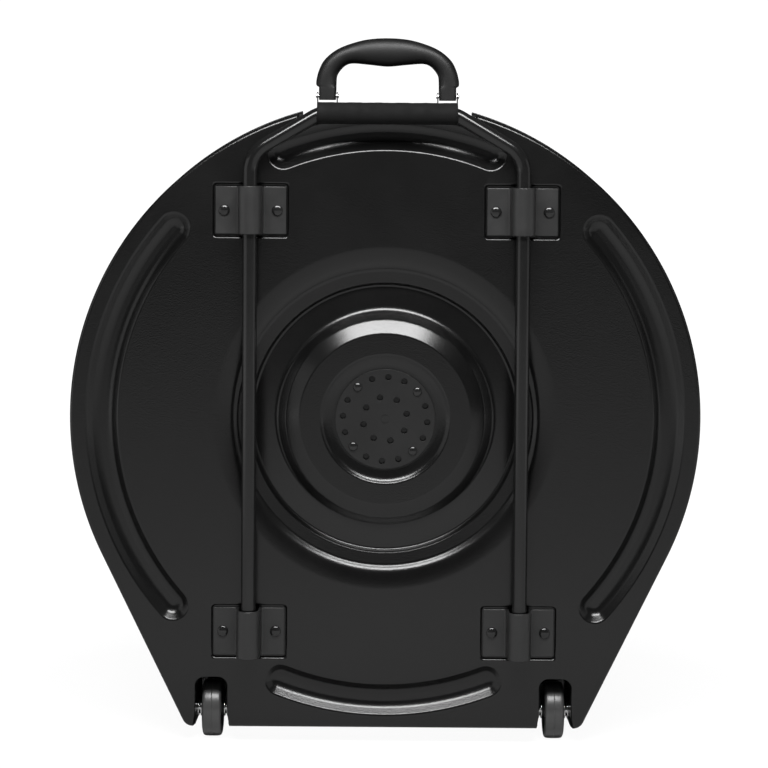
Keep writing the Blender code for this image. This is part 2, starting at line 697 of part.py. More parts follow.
# Pockets for the clamps, with the wall that stays behind them
pocket_cuts = []
for side in (-1, 1):
    for level, middle_z in (("upper", UPPER_CLAMP_Z), ("lower", LOWER_CLAMP_Z)):
        for kind, grow, near, far in (
            ("pocket", 0, -OVERRUN, POCKET_DEPTH),
            ("pocket_back", WALL, 0, POCKET_DEPTH + WALL),
        ):
            made = box(
                f"{kind}_{level}_{side}",
                (-POCKET_WIDTH / 2 - grow, near, -POCKET_HEIGHT / 2 - grow),
                (POCKET_WIDTH / 2 + grow, far, POCKET_HEIGHT / 2 + grow),
                (side * LEG_X, BACK_FACE_Y, middle_z),
            )
            if grow:
                back_backs.append(made)
            else:
                pocket_cuts.append(made)


def recess_outline(grow, y):
    """The wheel recess seen from behind: open below, with round upper corners."""
    side = RECESS_WIDTH / 2 + grow
    top = RECESS_TOP + grow
    rounding = RECESS_ROUND + grow
    points = [(side, -OVERRUN)]
    points += arc(side - rounding, top - rounding, rounding, 0, math.pi / 2, CORNER_STEPS)
    points += arc(rounding - side, top - rounding, rounding, math.pi / 2, math.pi, CORNER_STEPS)
    points += [(-side, -OVERRUN)]
    return [(x, y, z) for x, z in points]


wheel_cuts = []
for side in (-1, 1):
    recess_cut = loft(
        f"recess_{side}",
        [
            recess_outline(0, BACK_FACE_Y - OVERRUN),
            recess_outline(0, BACK_FACE_Y + RECESS_DEPTH),
        ],
    )
    housing = loft(
        f"housing_{side}",
        [
            recess_outline(WALL, BACK_FACE_Y),
            recess_outline(WALL, BACK_FACE_Y + RECESS_DEPTH + WALL),
        ],
    )
    axle_hole = cylinder(
        f"axle_hole_{side}",
        AXLE_RADIUS + GAP,
        RECESS_WIDTH + 2 * WALL + 2 * GAP,
        12,
        (side * WHEEL_X, AXLE_Y, WHEEL_RADIUS),
        SIDEWAYS,
    )
    for made in (recess_cut, housing):
        made.location.x = side * WHEEL_X
    back_backs.append(housing)
    wheel_cuts += [recess_cut, axle_hole]

# Rivet places of the clamps: the side, the level and the rivet's own side
rivet_places = [
    (f"clamp_rivet_{level}_{name}_{own}", side * LEG_X + step * RIVET_SPACING / 2, middle_z)
    for side, name in ((-1, "left"), (1, "right"))
    for level, middle_z in (("upper", UPPER_CLAMP_Z), ("lower", LOWER_CLAMP_Z))
    for step, own in ((-1, "a"), (1, "b"))
]
rivet_holes = [
    cylinder(
        f"hole_{name}",
        RIVET_SHANK_RADIUS + GAP,
        2 * (POCKET_DEPTH + WALL + OVERRUN),
        RIVET_STEPS,
        (x, BACK_FACE_Y, z),
        BACKWARD,
    )
    for name, x, z in rivet_places
]

# The gasket's groove
groove_outer = loft(
    "gasket_groove",
    [
        case_outline(0, GASKET_INSET - GAP, PARTING_Y - GASKET_HEIGHT),
        case_outline(0, GASKET_INSET - GAP, PARTING_Y + OVERRUN),
    ],
)
groove_inner = loft(
    "gasket_groove_core",
    [
        case_outline(0, GASKET_INSET + GASKET_WIDTH + GAP, PARTING_Y - OVERRUN),
        case_outline(0, GASKET_INSET + GASKET_WIDTH + GAP, PARTING_Y + 2 * OVERRUN),
    ],
)
cut(groove_outer, groove_inner)

# Latch places: name, the seat's middle on the parting line, and the turn about Y
side_seat = RIM_RADIUS - LATCH_SEAT
latch_places = (
    ("top", (0, PARTING_Y, CENTRE_HEIGHT + WELL_FLOOR), 0),
    ("right", (side_seat, PARTING_Y, CENTRE_HEIGHT), math.pi / 2),
    ("left", (-side_seat, PARTING_Y, CENTRE_HEIGHT), -math.pi / 2),
)
relief_cuts = []
keepers = []
for name, place, turn in latch_places:
    if name != "top":
        relief_cuts.append(
            box(
                f"latch_relief_{name}",
                (-LATCH_RELIEF_WIDTH / 2, -LATCH_BASE_FAR, 0),
                (LATCH_RELIEF_WIDTH / 2, LATCH_BASE_FAR + OVERRUN, LATCH_ARM_HIGH),
                place,
                (0, turn, 0),
            )
        )
    keepers.append(
        box(
            f"keeper_{name}",
            (-KEEPER_WIDTH / 2, -KEEPER_NEAR - KEEPER_THICKNESS, -LAP),
            (KEEPER_WIDTH / 2, -KEEPER_NEAR, KEEPER_HEIGHT),
            place,
            (0, turn, 0),
        )
    )

# Flats in both flanges for the hinge leaves
for side in (-1, 1):
    relief_cuts.append(
        box(
            f"hinge_relief_{side}",
            (-HINGE_LENGTH / 2 - OVERRUN, -FLANGE_HEIGHT - OVERRUN, -HINGE_SEAT - OVERRUN),
            (HINGE_LENGTH / 2 + OVERRUN, FLANGE_HEIGHT + OVERRUN, 0),
            (side * HINGE_SPACING / 2, HINGE_AXIS_Y, HINGE_SEAT_Z),
        )
    )

cut(back_cavity, *back_backs)
cut(back_shell, back_cavity, *back_cuts, *pocket_cuts, dish_hole)
join(back_shell, back_dish)
cut(back_shell, *wheel_cuts, *rivet_holes, groove_outer, *relief_cuts)
join(back_shell, *keepers)
piece("back_shell", back_shell, SHELL_PLASTIC)

# The lid
lid_shell = tub("lid_shell_outside", LID_FACE_Y, LID_DEPTH, -1)
lid_cavity = cavity("lid_cavity", LID_FACE_Y, LID_DEPTH, -1)
lid_cuts, lid_backs = grooves("lid", LID_FACE_Y, -1)
panel_drop = LID_PANEL_HEIGHT - LID_BOWL_FLOOR
panel_run = BOWL_OUTER - LID_PANEL_RADIUS
lid_dish = dish(
    "lid_dish",
    [
        (0, LID_PANEL_HEIGHT),
        *[
            (LID_PANEL_RADIUS + a * panel_run, LID_PANEL_HEIGHT - b * panel_drop)
            for a, b in LID_PANEL_SHARES
        ],
        *ridge(LID_BOWL_FLOOR),
    ],
    LID_FACE_Y,
    FORWARD,
)
lid_hole = cylinder(
    "lid_dish_hole",
    (RIDGE_RADIUS + RIDGE_FOOT) / 2,
    LID_DEPTH,
    DISH_STEPS,
    (0, LID_FACE_Y, CENTRE_HEIGHT),
    FORWARD,
)
cut(lid_cavity, *lid_backs)
cut(lid_shell, lid_cavity, *lid_cuts, lid_hole)
join(lid_shell, lid_dish)
cut(lid_shell, *relief_cuts)
piece("lid_shell", lid_shell, SHELL_PLASTIC, (0, HINGE_AXIS_Y, HINGE_AXIS_Z))

# The gasket itself
gasket = loft(
    "gasket",
    [
        case_outline(0, GASKET_INSET, PARTING_Y - GASKET_HEIGHT + GAP),
        case_outline(0, GASKET_INSET, PARTING_Y + GAP),
    ],
)
gasket_core = loft(
    "gasket_core",
    [
        case_outline(0, GASKET_INSET + GASKET_WIDTH, PARTING_Y - 2 * GASKET_HEIGHT),
        case_outline(0, GASKET_INSET + GASKET_WIDTH, PARTING_Y + 2 * GASKET_HEIGHT),
    ],
)
cut(gasket, gasket_core)
piece("rim_gasket", gasket, SEAL_RUBBER, used=(gasket_core,))


def foam(name, bore, face_y, inward, rotation):
    """A ring of foam that lies on the backs of the grooves."""
    near = GROOVE_DEPTH + WALL + GAP
    far = near + FOAM_THICKNESS
    body = turned(
        name,
        [(bore, far), (FOAM_RADIUS, far), (FOAM_RADIUS, near), (bore, near)],
        FOAM_STEPS,
        (0, face_y, CENTRE_HEIGHT),
        rotation,
        ring=True,
    )
    return piece(name, body, LINER_FOAM)


foam("back_foam", BACK_FOAM_BORE, BACK_FACE_Y, 1, FORWARD)
foam("lid_foam", LID_FOAM_BORE, LID_FACE_Y, -1, BACKWARD)

# The perforated plate on the boss
vent_centre = (0, BACK_FACE_Y, CENTRE_HEIGHT)
vent_back = VENT_SEAT + GAP
vent = turned(
    "vent",
    [
        (0, vent_back + VENT_THICKNESS),
        (VENT_RADIUS, vent_back + VENT_THICKNESS),
        (VENT_RADIUS, vent_back),
        (0, vent_back),
    ],
    DISH_STEPS,
    vent_centre,
    BACKWARD,
)
vent_holes = []
for i in range(VENT_OUTER_PLACES):
    if i % VENT_RIVET_EVERY:
        angle = VENT_OUTER_TURN + i * 2 * math.pi / VENT_OUTER_PLACES
        vent_holes.append((VENT_OUTER_CIRCLE, angle))
for i in range(VENT_INNER_PLACES):
    vent_holes.append((VENT_INNER_CIRCLE, VENT_INNER_TURN + i * 2 * math.pi / VENT_INNER_PLACES))
vent_cuts = [
    cylinder(
        f"vent_hole_{i}",
        VENT_HOLE_RADIUS,
        2 * (vent_back + VENT_THICKNESS + OVERRUN),
        8,
        (circle * math.sin(angle), BACK_FACE_Y, CENTRE_HEIGHT + circle * math.cos(angle)),
        BACKWARD,
    )
    for i, (circle, angle) in enumerate(vent_holes)
]
cut(vent, *vent_cuts)
piece("vent_plate", vent, SHELL_PLASTIC, used=vent_cuts)

# Backing plate, post and what is clamped on it; depths are from the back face, inwards
post_place = (0, BACK_FACE_Y, CENTRE_HEIGHT)


def disc_profile(bore, radius, near, thickness):
    """A flat ring's profile, or a disc's where it has no bore."""
    far = near + thickness
    if not bore:
        return [(0, far), (radius, far), (radius, near), (0, near)]
    return [(bore, far), (radius, far), (radius, near), (bore, near)]


def washer(name, finish, bore, radius, near, thickness, steps):
    profile = disc_profile(bore, radius, near, thickness)
    body = turned(name, profile, steps, post_place, FORWARD, ring=bool(bore))
    return piece(name, body, finish)


backing_near = WALL - VENT_SEAT + GAP
post_near = backing_near + BACKING_THICKNESS + GAP
felt_near = post_near + POST_FLANGE_THICKNESS + GAP
upper_felt_near = felt_near + LOWER_FELT_THICKNESS + GAP
cup_near = upper_felt_near + UPPER_FELT_THICKNESS + GAP
nut_near = cup_near + CUP_THICKNESS + GAP
post_bore = POST_RADIUS + GAP

washer("backing_plate", STEEL, 0, BACKING_RADIUS, backing_near, BACKING_THICKNESS, 24)
post = turned(
    "post",
    [
        (0, post_near + POST_LENGTH),
        (POST_RADIUS - LAP, post_near + POST_LENGTH),
        (POST_RADIUS, post_near + POST_LENGTH - LAP),
        (POST_RADIUS, post_near + POST_FLANGE_THICKNESS),
        (POST_FLANGE_RADIUS, post_near + POST_FLANGE_THICKNESS),
        (POST_FLANGE_RADIUS, post_near),
        (0, post_near),
    ],
    16,
    post_place,
    FORWARD,
)
piece("centre_post", post, STEEL)
washer("felt_washer_lower", FELT, post_bore, FELT_RADIUS, felt_near, LOWER_FELT_THICKNESS, 24)
washer("felt_washer_upper", FELT, post_bore, FELT_RADIUS, upper_felt_near, UPPER_FELT_THICKNESS, 24)
washer("cup_washer", CHROME, post_bore, CUP_RADIUS, cup_near, CUP_THICKNESS, 24)

nut = turned(
    "nut",
    disc_profile(post_bore, NUT_RADIUS, nut_near, NUT_HEIGHT),
    16,
    post_place,
    FORWARD,
    ring=True,
)
nut_wings = [
    box(
        f"nut_wing_{side}",
        (side * (NUT_RADIUS - LAP), nut_near + LAP, -NUT_WING_THICKNESS / 2),
        (side * NUT_WING_REACH, nut_near + NUT_WING_HEIGHT, NUT_WING_THICKNESS / 2),
        post_place,
    )
    for side in (-1, 1)
]
join(nut, *nut_wings)
piece("wing_nut", nut, CHROME, (0, BACK_FACE_Y + nut_near, CENTRE_HEIGHT), nut_wings)


def rounded_path(corners, radius, steps):
    """A path whose inner corners are bends of one radius."""
    path = [corners[0]]
    for before, corner, after in zip(corners, corners[1:], corners[2:]):
        back = (before - corner).normalized()
        ahead = (after - corner).normalized()
        half = back.angle(ahead) / 2
        centre = corner + (back + ahead).normalized() * radius / math.sin(half)
        start = corner + back * radius / math.tan(half) - centre
        end = corner + ahead * radius / math.tan(half) - centre
        turn = start.angle(end)
        for i in range(steps + 1):
            share = i / steps
            near = math.sin((1 - share) * turn) / math.sin(turn)
            far = math.sin(share * turn) / math.sin(turn)
            path.append(centre + start * near + end * far)
    path.append(corners[-1])
    return path


# The tow bar
grip_z = CENTRE_HEIGHT + GRIP_HEIGHT
shoulder_z = grip_z - (LEG_X - GRIP_CORNER) * math.tan(SHOULDER_ANGLE)
tube_start_z = TUBE_END_Z + FERRULE_HEIGHT + GAP


def tow_path(end_z):
    """The middle line of the tow bar, with both legs ending at one height."""
    half = [
        Vector((-LEG_X, TUBE_Y, end_z)),
        Vector((-LEG_X, TUBE_Y, shoulder_z)),
        Vector((-GRIP_CORNER, TUBE_Y, grip_z)),
    ]
    mirrored = [Vector((-corner.x, corner.y, corner.z)) for corner in reversed(half)]
    return rounded_path(half + mirrored, BEND_RADIUS, BEND_STEPS)


bar = tube("bar", tow_path(tube_start_z), TUBE_RADIUS)
bar_core = tube("bar_core", tow_path(tube_start_z - OVERRUN), TUBE_RADIUS - TUBE_WALL)
cut(bar, bar_core)
piece("tow_bar", bar, TUBE_PAINT, (0, TUBE_Y, tube_start_z), (bar_core,))

sleeve_half = SLEEVE_LENGTH / 2
sleeve = turned(
    "sleeve",
    [
        (0, sleeve_half),
        (SLEEVE_RADIUS - SLEEVE_ROUND, sleeve_half),
        (SLEEVE_RADIUS, sleeve_half - SLEEVE_ROUND),
        (SLEEVE_RADIUS, SLEEVE_ROUND - sleeve_half),
        (SLEEVE_RADIUS - SLEEVE_ROUND, -sleeve_half),
        (0, -sleeve_half),
    ],
    24,
    (0, TUBE_Y, grip_z),
    SIDEWAYS,
)
sleeve_bore = tube("sleeve_bore", tow_path(tube_start_z), TUBE_RADIUS + GAP)
cut(sleeve, sleeve_bore)
piece("tow_sleeve", sleeve, SLEEVE_FOAM, (0, TUBE_Y, grip_z), (sleeve_bore,))

for side, name in ((-1, "left"), (1, "right")):
    spigot_radius = TUBE_RADIUS - TUBE_WALL - GAP
    ferrule = turned(
        "ferrule",
        [
            (0, FERRULE_HEIGHT + SPIGOT_LENGTH),
            (spigot_radius, FERRULE_HEIGHT + SPIGOT_LENGTH),
            (spigot_radius, FERRULE_HEIGHT),
            (FERRULE_RADIUS, FERRULE_HEIGHT),
            (FERRULE_RADIUS, 0),
            (0, 0),
        ],
        16,
        (side * LEG_X, TUBE_Y, TUBE_END_Z),
    )
    piece(f"tow_end_{name}", ferrule, HUB_PLASTIC, (side * LEG_X, TUBE_Y, TUBE_END_Z))


def saddle_outline(outer_only):
    """The clamp's section seen from above: across, and out from the pocket's floor."""
    out = POCKET_DEPTH + TUBE_STANDOFF
    side = CLAMP_WIDTH / 2
    sheet = GAP + CLAMP_SHEET
    if outer_only:
        radius = SADDLE_BORE + CLAMP_SHEET / 2
        return [(radius, GAP), *arc(0, out, radius, 0, math.pi, SADDLE_STEPS), (-radius, GAP)]
    return [
        (-side, GAP),
        (-SADDLE_BORE, GAP),
        *arc(0, out, SADDLE_BORE, math.pi, 0, SADDLE_STEPS),
        (SADDLE_BORE, GAP),
        (side, GAP),
        (side, sheet),
        (SADDLE_OUTER, sheet),
        *arc(0, out, SADDLE_OUTER, 0, math.pi, SADDLE_STEPS),
        (-SADDLE_OUTER, sheet),
        (-side, sheet),
    ]


def prism(name, outline, low, high, x, z):
    """A section of (across, out from the pocket's floor) points between two heights."""
    rings = [[(x + a, POCKET_FLOOR_Y - b, z + level) for a, b in outline] for level in (low, high)]
    return loft(name, rings)


for side, name in ((-1, "left"), (1, "right")):
    for level, middle_z in (("upper", UPPER_CLAMP_Z), ("lower", LOWER_CLAMP_Z)):
        x = side * LEG_X
        low = -CLAMP_HEIGHT / 2
        saddle = prism("saddle", saddle_outline(False), low, -low, x, middle_z)
        used = []
        if level == "lower":
            floor = prism(
                "saddle_floor", saddle_outline(True), low + LAP, low + LAP + CLAMP_SHEET, x, middle_z
            )
            join(saddle, floor)
            used.append(floor)
        for step in (-1, 1):
            hole = cylinder(
                "saddle_hole",
                RIVET_SHANK_RADIUS + GAP,
                2 * (CLAMP_SHEET + OVERRUN),
                RIVET_STEPS,
                (x + step * RIVET_SPACING / 2, POCKET_FLOOR_Y, middle_z),
                BACKWARD,
            )
            cut(saddle, hole)
            used.append(hole)
        piece(f"{level}_clamp_{name}", saddle, POWDER_COAT, (x, POCKET_FLOOR_Y, middle_z), used)
    bush = turned(
        "bush",
        [
            (TUBE_RADIUS + BUSH_CLEARANCE, CLAMP_HEIGHT / 2),
            (SADDLE_BORE - GAP, CLAMP_HEIGHT / 2),
            (SADDLE_BORE - GAP, -CLAMP_HEIGHT / 2),
            (TUBE_RADIUS + BUSH_CLEARANCE, -CLAMP_HEIGHT / 2),
        ],
        20,
        (side * LEG_X, TUBE_Y, UPPER_CLAMP_Z),
        ring=True,
    )
    piece(f"guide_bush_{name}", bush, HUB_PLASTIC, (side * LEG_X, TUBE_Y, UPPER_CLAMP_Z))

# Clamp rivets; heights are out from the back face
crown_across, crown_rise = RIVET_CROWN_SHARES
rivet_seat = GAP + CLAMP_SHEET + GAP - POCKET_DEPTH
rivet_tail = -POCKET_DEPTH - WALL - GAP
for name, x, z in rivet_places:
    rivet = turned(
        "rivet",
        [
            (0, rivet_seat + RIVET_HEAD_HEIGHT),
            (crown_across * RIVET_HEAD_RADIUS, rivet_seat + crown_rise * RIVET_HEAD_HEIGHT),
            (RIVET_HEAD_RADIUS, rivet_seat),
            (RIVET_SHANK_RADIUS, rivet_seat),
            (RIVET_SHANK_RADIUS, rivet_tail),
            (RIVET_TAIL_RADIUS, rivet_tail),
            (RIVET_TAIL_RADIUS, rivet_tail - RIVET_TAIL_HEIGHT),
            (0, rivet_tail - RIVET_TAIL_HEIGHT),
        ],
        RIVET_STEPS,
        (x, BACK_FACE_Y, z),
        BACKWARD,
    )
    piece(name, rivet, RIVET_BLACK, (x, BACK_FACE_Y, z))


def handle_outline():
    """Bezier points of the whole handle: place and whether the corner is sharp."""
    half_width = HANDLE_WIDTH / 2
    right = [
        (across * half_width, rise * HANDLE_HEIGHT, sharp) for across, rise, sharp in HANDLE_SHARES
    ]
    left = [(-across, rise, sharp) for across, rise, sharp in reversed(right)]
    crown = (0, HANDLE_CROWN_SHARE * HANDLE_HEIGHT, False)
    belly = (0, HANDLE_BELLY_SHARE * HANDLE_HEIGHT, False)
    return [crown, *right, belly, *left]


def bezier_plate(name, outline, thickness, rounding, location, rotation):
    """A flat outline with smooth stretches, given a thickness and rounded edges."""
    curve = bpy.data.curves.new(name, "CURVE")
    curve.dimensions = "2D"
    curve.fill_mode = "BOTH"
    curve.extrude = thickness / 2 - rounding
    curve.bevel_depth = rounding
    curve.bevel_resolution = 1
    curve.offset = -rounding
    curve.resolution_u = 3
    spline = curve.splines.new("BEZIER")
    spline.bezier_points.add(len(outline) - 1)
    for point, (x, y, sharp) in zip(spline.bezier_points, outline):
        point.co = (x, y, 0)
        point.handle_left_type = "VECTOR" if sharp else "AUTO"
        point.handle_right_type = "VECTOR" if sharp else "AUTO"
    spline.use_cyclic_u = True
    return from_curve(name, curve, rotation, location)


# The carry handle, its pins and brackets
leg_middle = HANDLE_WIDTH / 2 * (LEG_OUTER_SHARE + LEG_INNER_SHARE) / 2
leg_width = HANDLE_WIDTH / 2 * (LEG_OUTER_SHARE - LEG_INNER_SHARE)
grip = bezier_plate(
    "grip",
    handle_outline(),
    HANDLE_THICKNESS,
    HANDLE_ROUND,
    (0, HANDLE_Y, CENTRE_HEIGHT + HANDLE_BOTTOM),
    BACKWARD,
)
pin_holes = [
    cylinder(
        f"grip_pin_hole_{side}",
        HANDLE_PIN_RADIUS + GAP,
        leg_width + 2 * OVERRUN,
        12,
        (side * leg_middle, HANDLE_Y, HANDLE_PIN_Z),
        SIDEWAYS,
    )
    for side in (-1, 1)
]
cut(grip, *pin_holes)
piece("carry_handle", grip, HANDLE_RUBBER, (0, HANDLE_Y, HANDLE_PIN_Z), pin_holes)

well_z = CENTRE_HEIGHT + WELL_FLOOR + GAP
ear_near = leg_width / 2 + BRACKET_CLEARANCE
ear_far = ear_near + BRACKET_SHEET
ear_top = HANDLE_PIN_Z + BRACKET_EAR / 2
for side, name in ((-1, "left"), (1, "right")):
    x = side * leg_middle
    place = (x, HANDLE_Y, well_z)
    bracket = box(
        "bracket_base",
        (-BRACKET_LENGTH / 2, -BRACKET_DEPTH / 2, 0),
        (BRACKET_LENGTH / 2, BRACKET_DEPTH / 2, BRACKET_BASE),
        place,
    )
    ears = [
        box(
            f"bracket_ear_{own}",
            (min(own * ear_near, own * ear_far), -BRACKET_EAR / 2, BRACKET_BASE / 2),
            (max(own * ear_near, own * ear_far), BRACKET_EAR / 2, ear_top - well_z),
            place,
        )
        for own in (-1, 1)
    ]
    ear_hole = cylinder(
        "ear_hole",
        HANDLE_PIN_RADIUS + GAP,
        2 * ear_far + 2 * OVERRUN,
        12,
        (x, HANDLE_Y, HANDLE_PIN_Z),
        SIDEWAYS,
    )
    join(bracket, *ears)
    cut(bracket, ear_hole)
    piece(f"handle_bracket_{name}", bracket, CHROME, place, [*ears, ear_hole])
    half = ear_far + GAP
    tip = half + HANDLE_PIN_HEAD_THICKNESS
    pin = turned(
        "pin",
        [
            (0, tip),
            (HANDLE_PIN_HEAD, tip),
            (HANDLE_PIN_HEAD, half),
            (HANDLE_PIN_RADIUS, half),
            (HANDLE_PIN_RADIUS, -half),
            (HANDLE_PIN_HEAD, -half),
            (HANDLE_PIN_HEAD, -tip),
            (0, -tip),
        ],
        12,
        (x, HANDLE_Y, HANDLE_PIN_Z),
        SIDEWAYS,
    )
    piece(f"handle_pin_{name}", pin, CHROME, (x, HANDLE_Y, HANDLE_PIN_Z))

# Wheels
bore = AXLE_RADIUS + GAP
tread = WHEEL_WIDTH / 2
rim = tread - TREAD_ROUND / 2
web = HUB_WEB / 2
boss = HUB_BOSS_LENGTH / 2
hub_inner = HUB_RADIUS - HUB_RIM_THICKNESS
axle_half = RECESS_WIDTH / 2 + WALL + GAP
axle_tip = axle_half + AXLE_HEAD_THICKNESS
for side, name in ((-1, "left"), (1, "right")):
    place = (side * WHEEL_X, AXLE_Y, WHEEL_RADIUS)
    tyre = turned(
        "tyre",
        [
            (HUB_RADIUS + GAP, tread),
            (WHEEL_RADIUS - TREAD_ROUND, tread),
            (WHEEL_RADIUS, tread - TREAD_ROUND),
            (WHEEL_RADIUS, TREAD_ROUND - tread),
            (WHEEL_RADIUS - TREAD_ROUND, -tread),
            (HUB_RADIUS + GAP, -tread),
        ],
        WHEEL_STEPS,
        place,
        SIDEWAYS,
        ring=True,
    )
    piece(f"tyre_{name}", tyre, TYRE_RUBBER, place)
    hub = turned(
        "hub",
        [
            (bore, boss),
            (HUB_BOSS_RADIUS, boss),
            (HUB_BOSS_RADIUS, web),
            (hub_inner, web),
            (hub_inner, rim),
            (HUB_RADIUS, rim),
            (HUB_RADIUS, -rim),
            (hub_inner, -rim),
            (hub_inner, -web),
            (HUB_BOSS_RADIUS, -web),
            (HUB_BOSS_RADIUS, -boss),
            (bore, -boss),
        ],
        24,
        place,
        SIDEWAYS,
        ring=True,
    )
    piece(f"hub_{name}", hub, HUB_PLASTIC, place)
    axle = turned(
        "axle",
        [
            (0, axle_tip),
            (AXLE_HEAD_RADIUS, axle_tip),
            (AXLE_HEAD_RADIUS, axle_half),
            (AXLE_RADIUS, axle_half),
            (AXLE_RADIUS, -axle_half),
            (AXLE_HEAD_RADIUS, -axle_half),
            (AXLE_HEAD_RADIUS, -axle_tip),
            (0, -axle_tip),
        ],
        16,
        place,
        SIDEWAYS,
    )
    piece(f"axle_{name}", axle, CHROME, place)

# Feet under the lid's wall, which slopes with its draft
foot_y = LID_RIM_Y + FOOT_DEPTH
foot_inset = FLANGE_PROUD + DRAFT * (FOOT_DEPTH - FOOT_TOP_RADIUS) / LID_DEPTH
foot_top = CENTRE_HEIGHT - RIM_DROP + foot_inset - GAP
for side, name in ((-1, "left"), (1, "right")):
    place = (side * FOOT_SPACING / 2, foot_y, 0)
    foot = turned(
        "foot",
        [(0, foot_top), (FOOT_TOP_RADIUS, foot_top), (FOOT_BOTTOM_RADIUS, 0), (0, 0)],
        20,
        place,
    )
    piece(f"foot_{name}", foot, SEAL_RUBBER, place)

# Hinges: heights are from the hinge axis, depths from it towards the leaf's own shell
leaf_top = KNUCKLE_DROP - GAP
leaf_near = KNUCKLE_RADIUS + LEAF_CLEARANCE
pin_half = HINGE_LENGTH / 2 + GAP
for side, name in ((-1, "left"), (1, "right")):
    place = (side * HINGE_SPACING / 2, HINGE_AXIS_Y, HINGE_AXIS_Z)
    lid_half = LID_KNUCKLE / 2
    outer_knuckles = [
        (-HINGE_LENGTH / 2, -lid_half - KNUCKLE_GAP),
        (lid_half + KNUCKLE_GAP, HINGE_LENGTH / 2),
    ]
    for shell, way, knuckles in (
        ("back", -1, outer_knuckles),
        ("lid", 1, [(-lid_half, lid_half)]),
    ):
        near, far = sorted((way * leaf_near, way * HINGE_LEAF))
        leaf = box(
            "leaf",
            (-HINGE_LENGTH / 2, near, leaf_top - HINGE_SHEET),
            (HINGE_LENGTH / 2, far, leaf_top),
            place,
        )
        used = []
        for low, high in knuckles:
            tab_near, tab_far = sorted((0, way * (leaf_near + LAP)))
            tab = box(
                "leaf_tab", (low, tab_near, leaf_top - HINGE_SHEET), (high, tab_far, leaf_top), place
            )
            middle = (place[0] + (low + high) / 2, place[1], place[2])
            knuckle = cylinder("knuckle", KNUCKLE_RADIUS, high - low, 12, middle, SIDEWAYS)
            join(leaf, tab, knuckle)
            used += [tab, knuckle]
        pin_bore = cylinder(
            "pin_bore", HINGE_PIN_RADIUS + GAP, HINGE_LENGTH + OVERRUN, 12, place, SIDEWAYS
        )
        cut(leaf, pin_bore)
        piece(f"hinge_leaf_{shell}_{name}", leaf, STEEL, place, [*used, pin_bore])
    tip = pin_half + HINGE_PIN_HEAD_THICKNESS
    pin = turned(
        "hinge_pin",
        [
            (0, tip),
            (HINGE_PIN_HEAD, tip),
            (HINGE_PIN_HEAD, pin_half),
            (HINGE_PIN_RADIUS, pin_half),
            (HINGE_PIN_RADIUS, -pin_half),
            (HINGE_PIN_HEAD, -pin_half),
            (HINGE_PIN_HEAD, -tip),
            (0, -tip),
        ],
        12,
        place,
        SIDEWAYS,
    )
    piece(f"hinge_pin_{name}", pin, STEEL, place)

# Latches
ear_outer = LATCH_BASE_WIDTH / 2
ear_inner = ear_outer - LATCH_EAR
ear_low = LATCH_PIVOT_DEPTH - LATCH_EAR_LENGTH / 2
ear_high = LATCH_PIVOT_DEPTH + LATCH_EAR_LENGTH / 2
for name, place, turn in latch_places:
    angle = (0, turn, 0)
    base = box(
        "latch_base",
        (-ear_outer, LATCH_BASE_NEAR, GAP),
        (ear_outer, LATCH_BASE_FAR, GAP + LATCH_BASE_SHEET),
        place,
        angle,
    )
    ears = [
        box(
            f"latch_ear_{own}",
            (min(own * ear_inner, own * ear_outer), ear_low, GAP + LATCH_BASE_SHEET / 2),
            (
                max(own * ear_inner, own * ear_outer),
                ear_high,
                LATCH_PIVOT_HEIGHT + LATCH_BARREL_RADIUS,
            ),
            place,
            angle,
        )
        for own in (-1, 1)
    ]
    turn_about = Matrix.Rotation(turn, 4, "Y")
    pivot = Vector(place) + turn_about @ Vector((0, LATCH_PIVOT_DEPTH, LATCH_PIVOT_HEIGHT))
    along = (0, turn + math.pi / 2, 0)
    bore_length = LATCH_BASE_WIDTH + 2 * OVERRUN
    base_bore = cylinder("base_bore", LATCH_PIN_RADIUS + GAP, bore_length, 12, pivot, along)
    join(base, *ears)
    cut(base, base_bore)
    piece(f"latch_base_{name}", base, LATCH_PLASTIC, place, [*ears, base_bore])

    lever_half = LATCH_LEVER_WIDTH / 2
    lip_far = LATCH_LIP_NEAR + LATCH_LIP_THICKNESS
    lever = cylinder("lever", LATCH_BARREL_RADIUS, LATCH_LEVER_WIDTH, 16, pivot, along)
    arm = box(
        "lever_arm",
        (-lever_half, -LATCH_TAB_REACH, LATCH_ARM_LOW),
        (lever_half, LATCH_PIVOT_DEPTH, LATCH_ARM_HIGH),
        place,
        angle,
    )
    lip = box(
        "lever_lip",
        (-lever_half, -lip_far, LATCH_LIP_LOW),
        (lever_half, -LATCH_LIP_NEAR, LATCH_ARM_LOW + LAP),
        place,
        angle,
    )
    lever_bore = cylinder("lever_bore", LATCH_PIN_RADIUS + GAP, bore_length, 12, pivot, along)
    join(lever, arm, lip)
    cut(lever, lever_bore)
    piece(f"latch_lever_{name}", lever, LATCH_PLASTIC, pivot, [arm, lip, lever_bore])
    latch_pin = cylinder("latch_pin", LATCH_PIN_RADIUS, LATCH_BASE_WIDTH, 12, pivot, along)
    piece(f"latch_pin_{name}", latch_pin, STEEL, pivot)
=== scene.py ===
# %% [markdown]
# # A cymbal case, seen from behind
# The case is two moulded plastic tubs closed against each other, with a bent tow bar clamped to
# the back, a carry handle on top and two wheels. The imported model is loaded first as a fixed
# frame: it gives every piece its place and its body, so nothing here has to be fitted by eye.

# %% Load the frame
import math

import bmesh
import bpy
from mathutils import Matrix, Vector


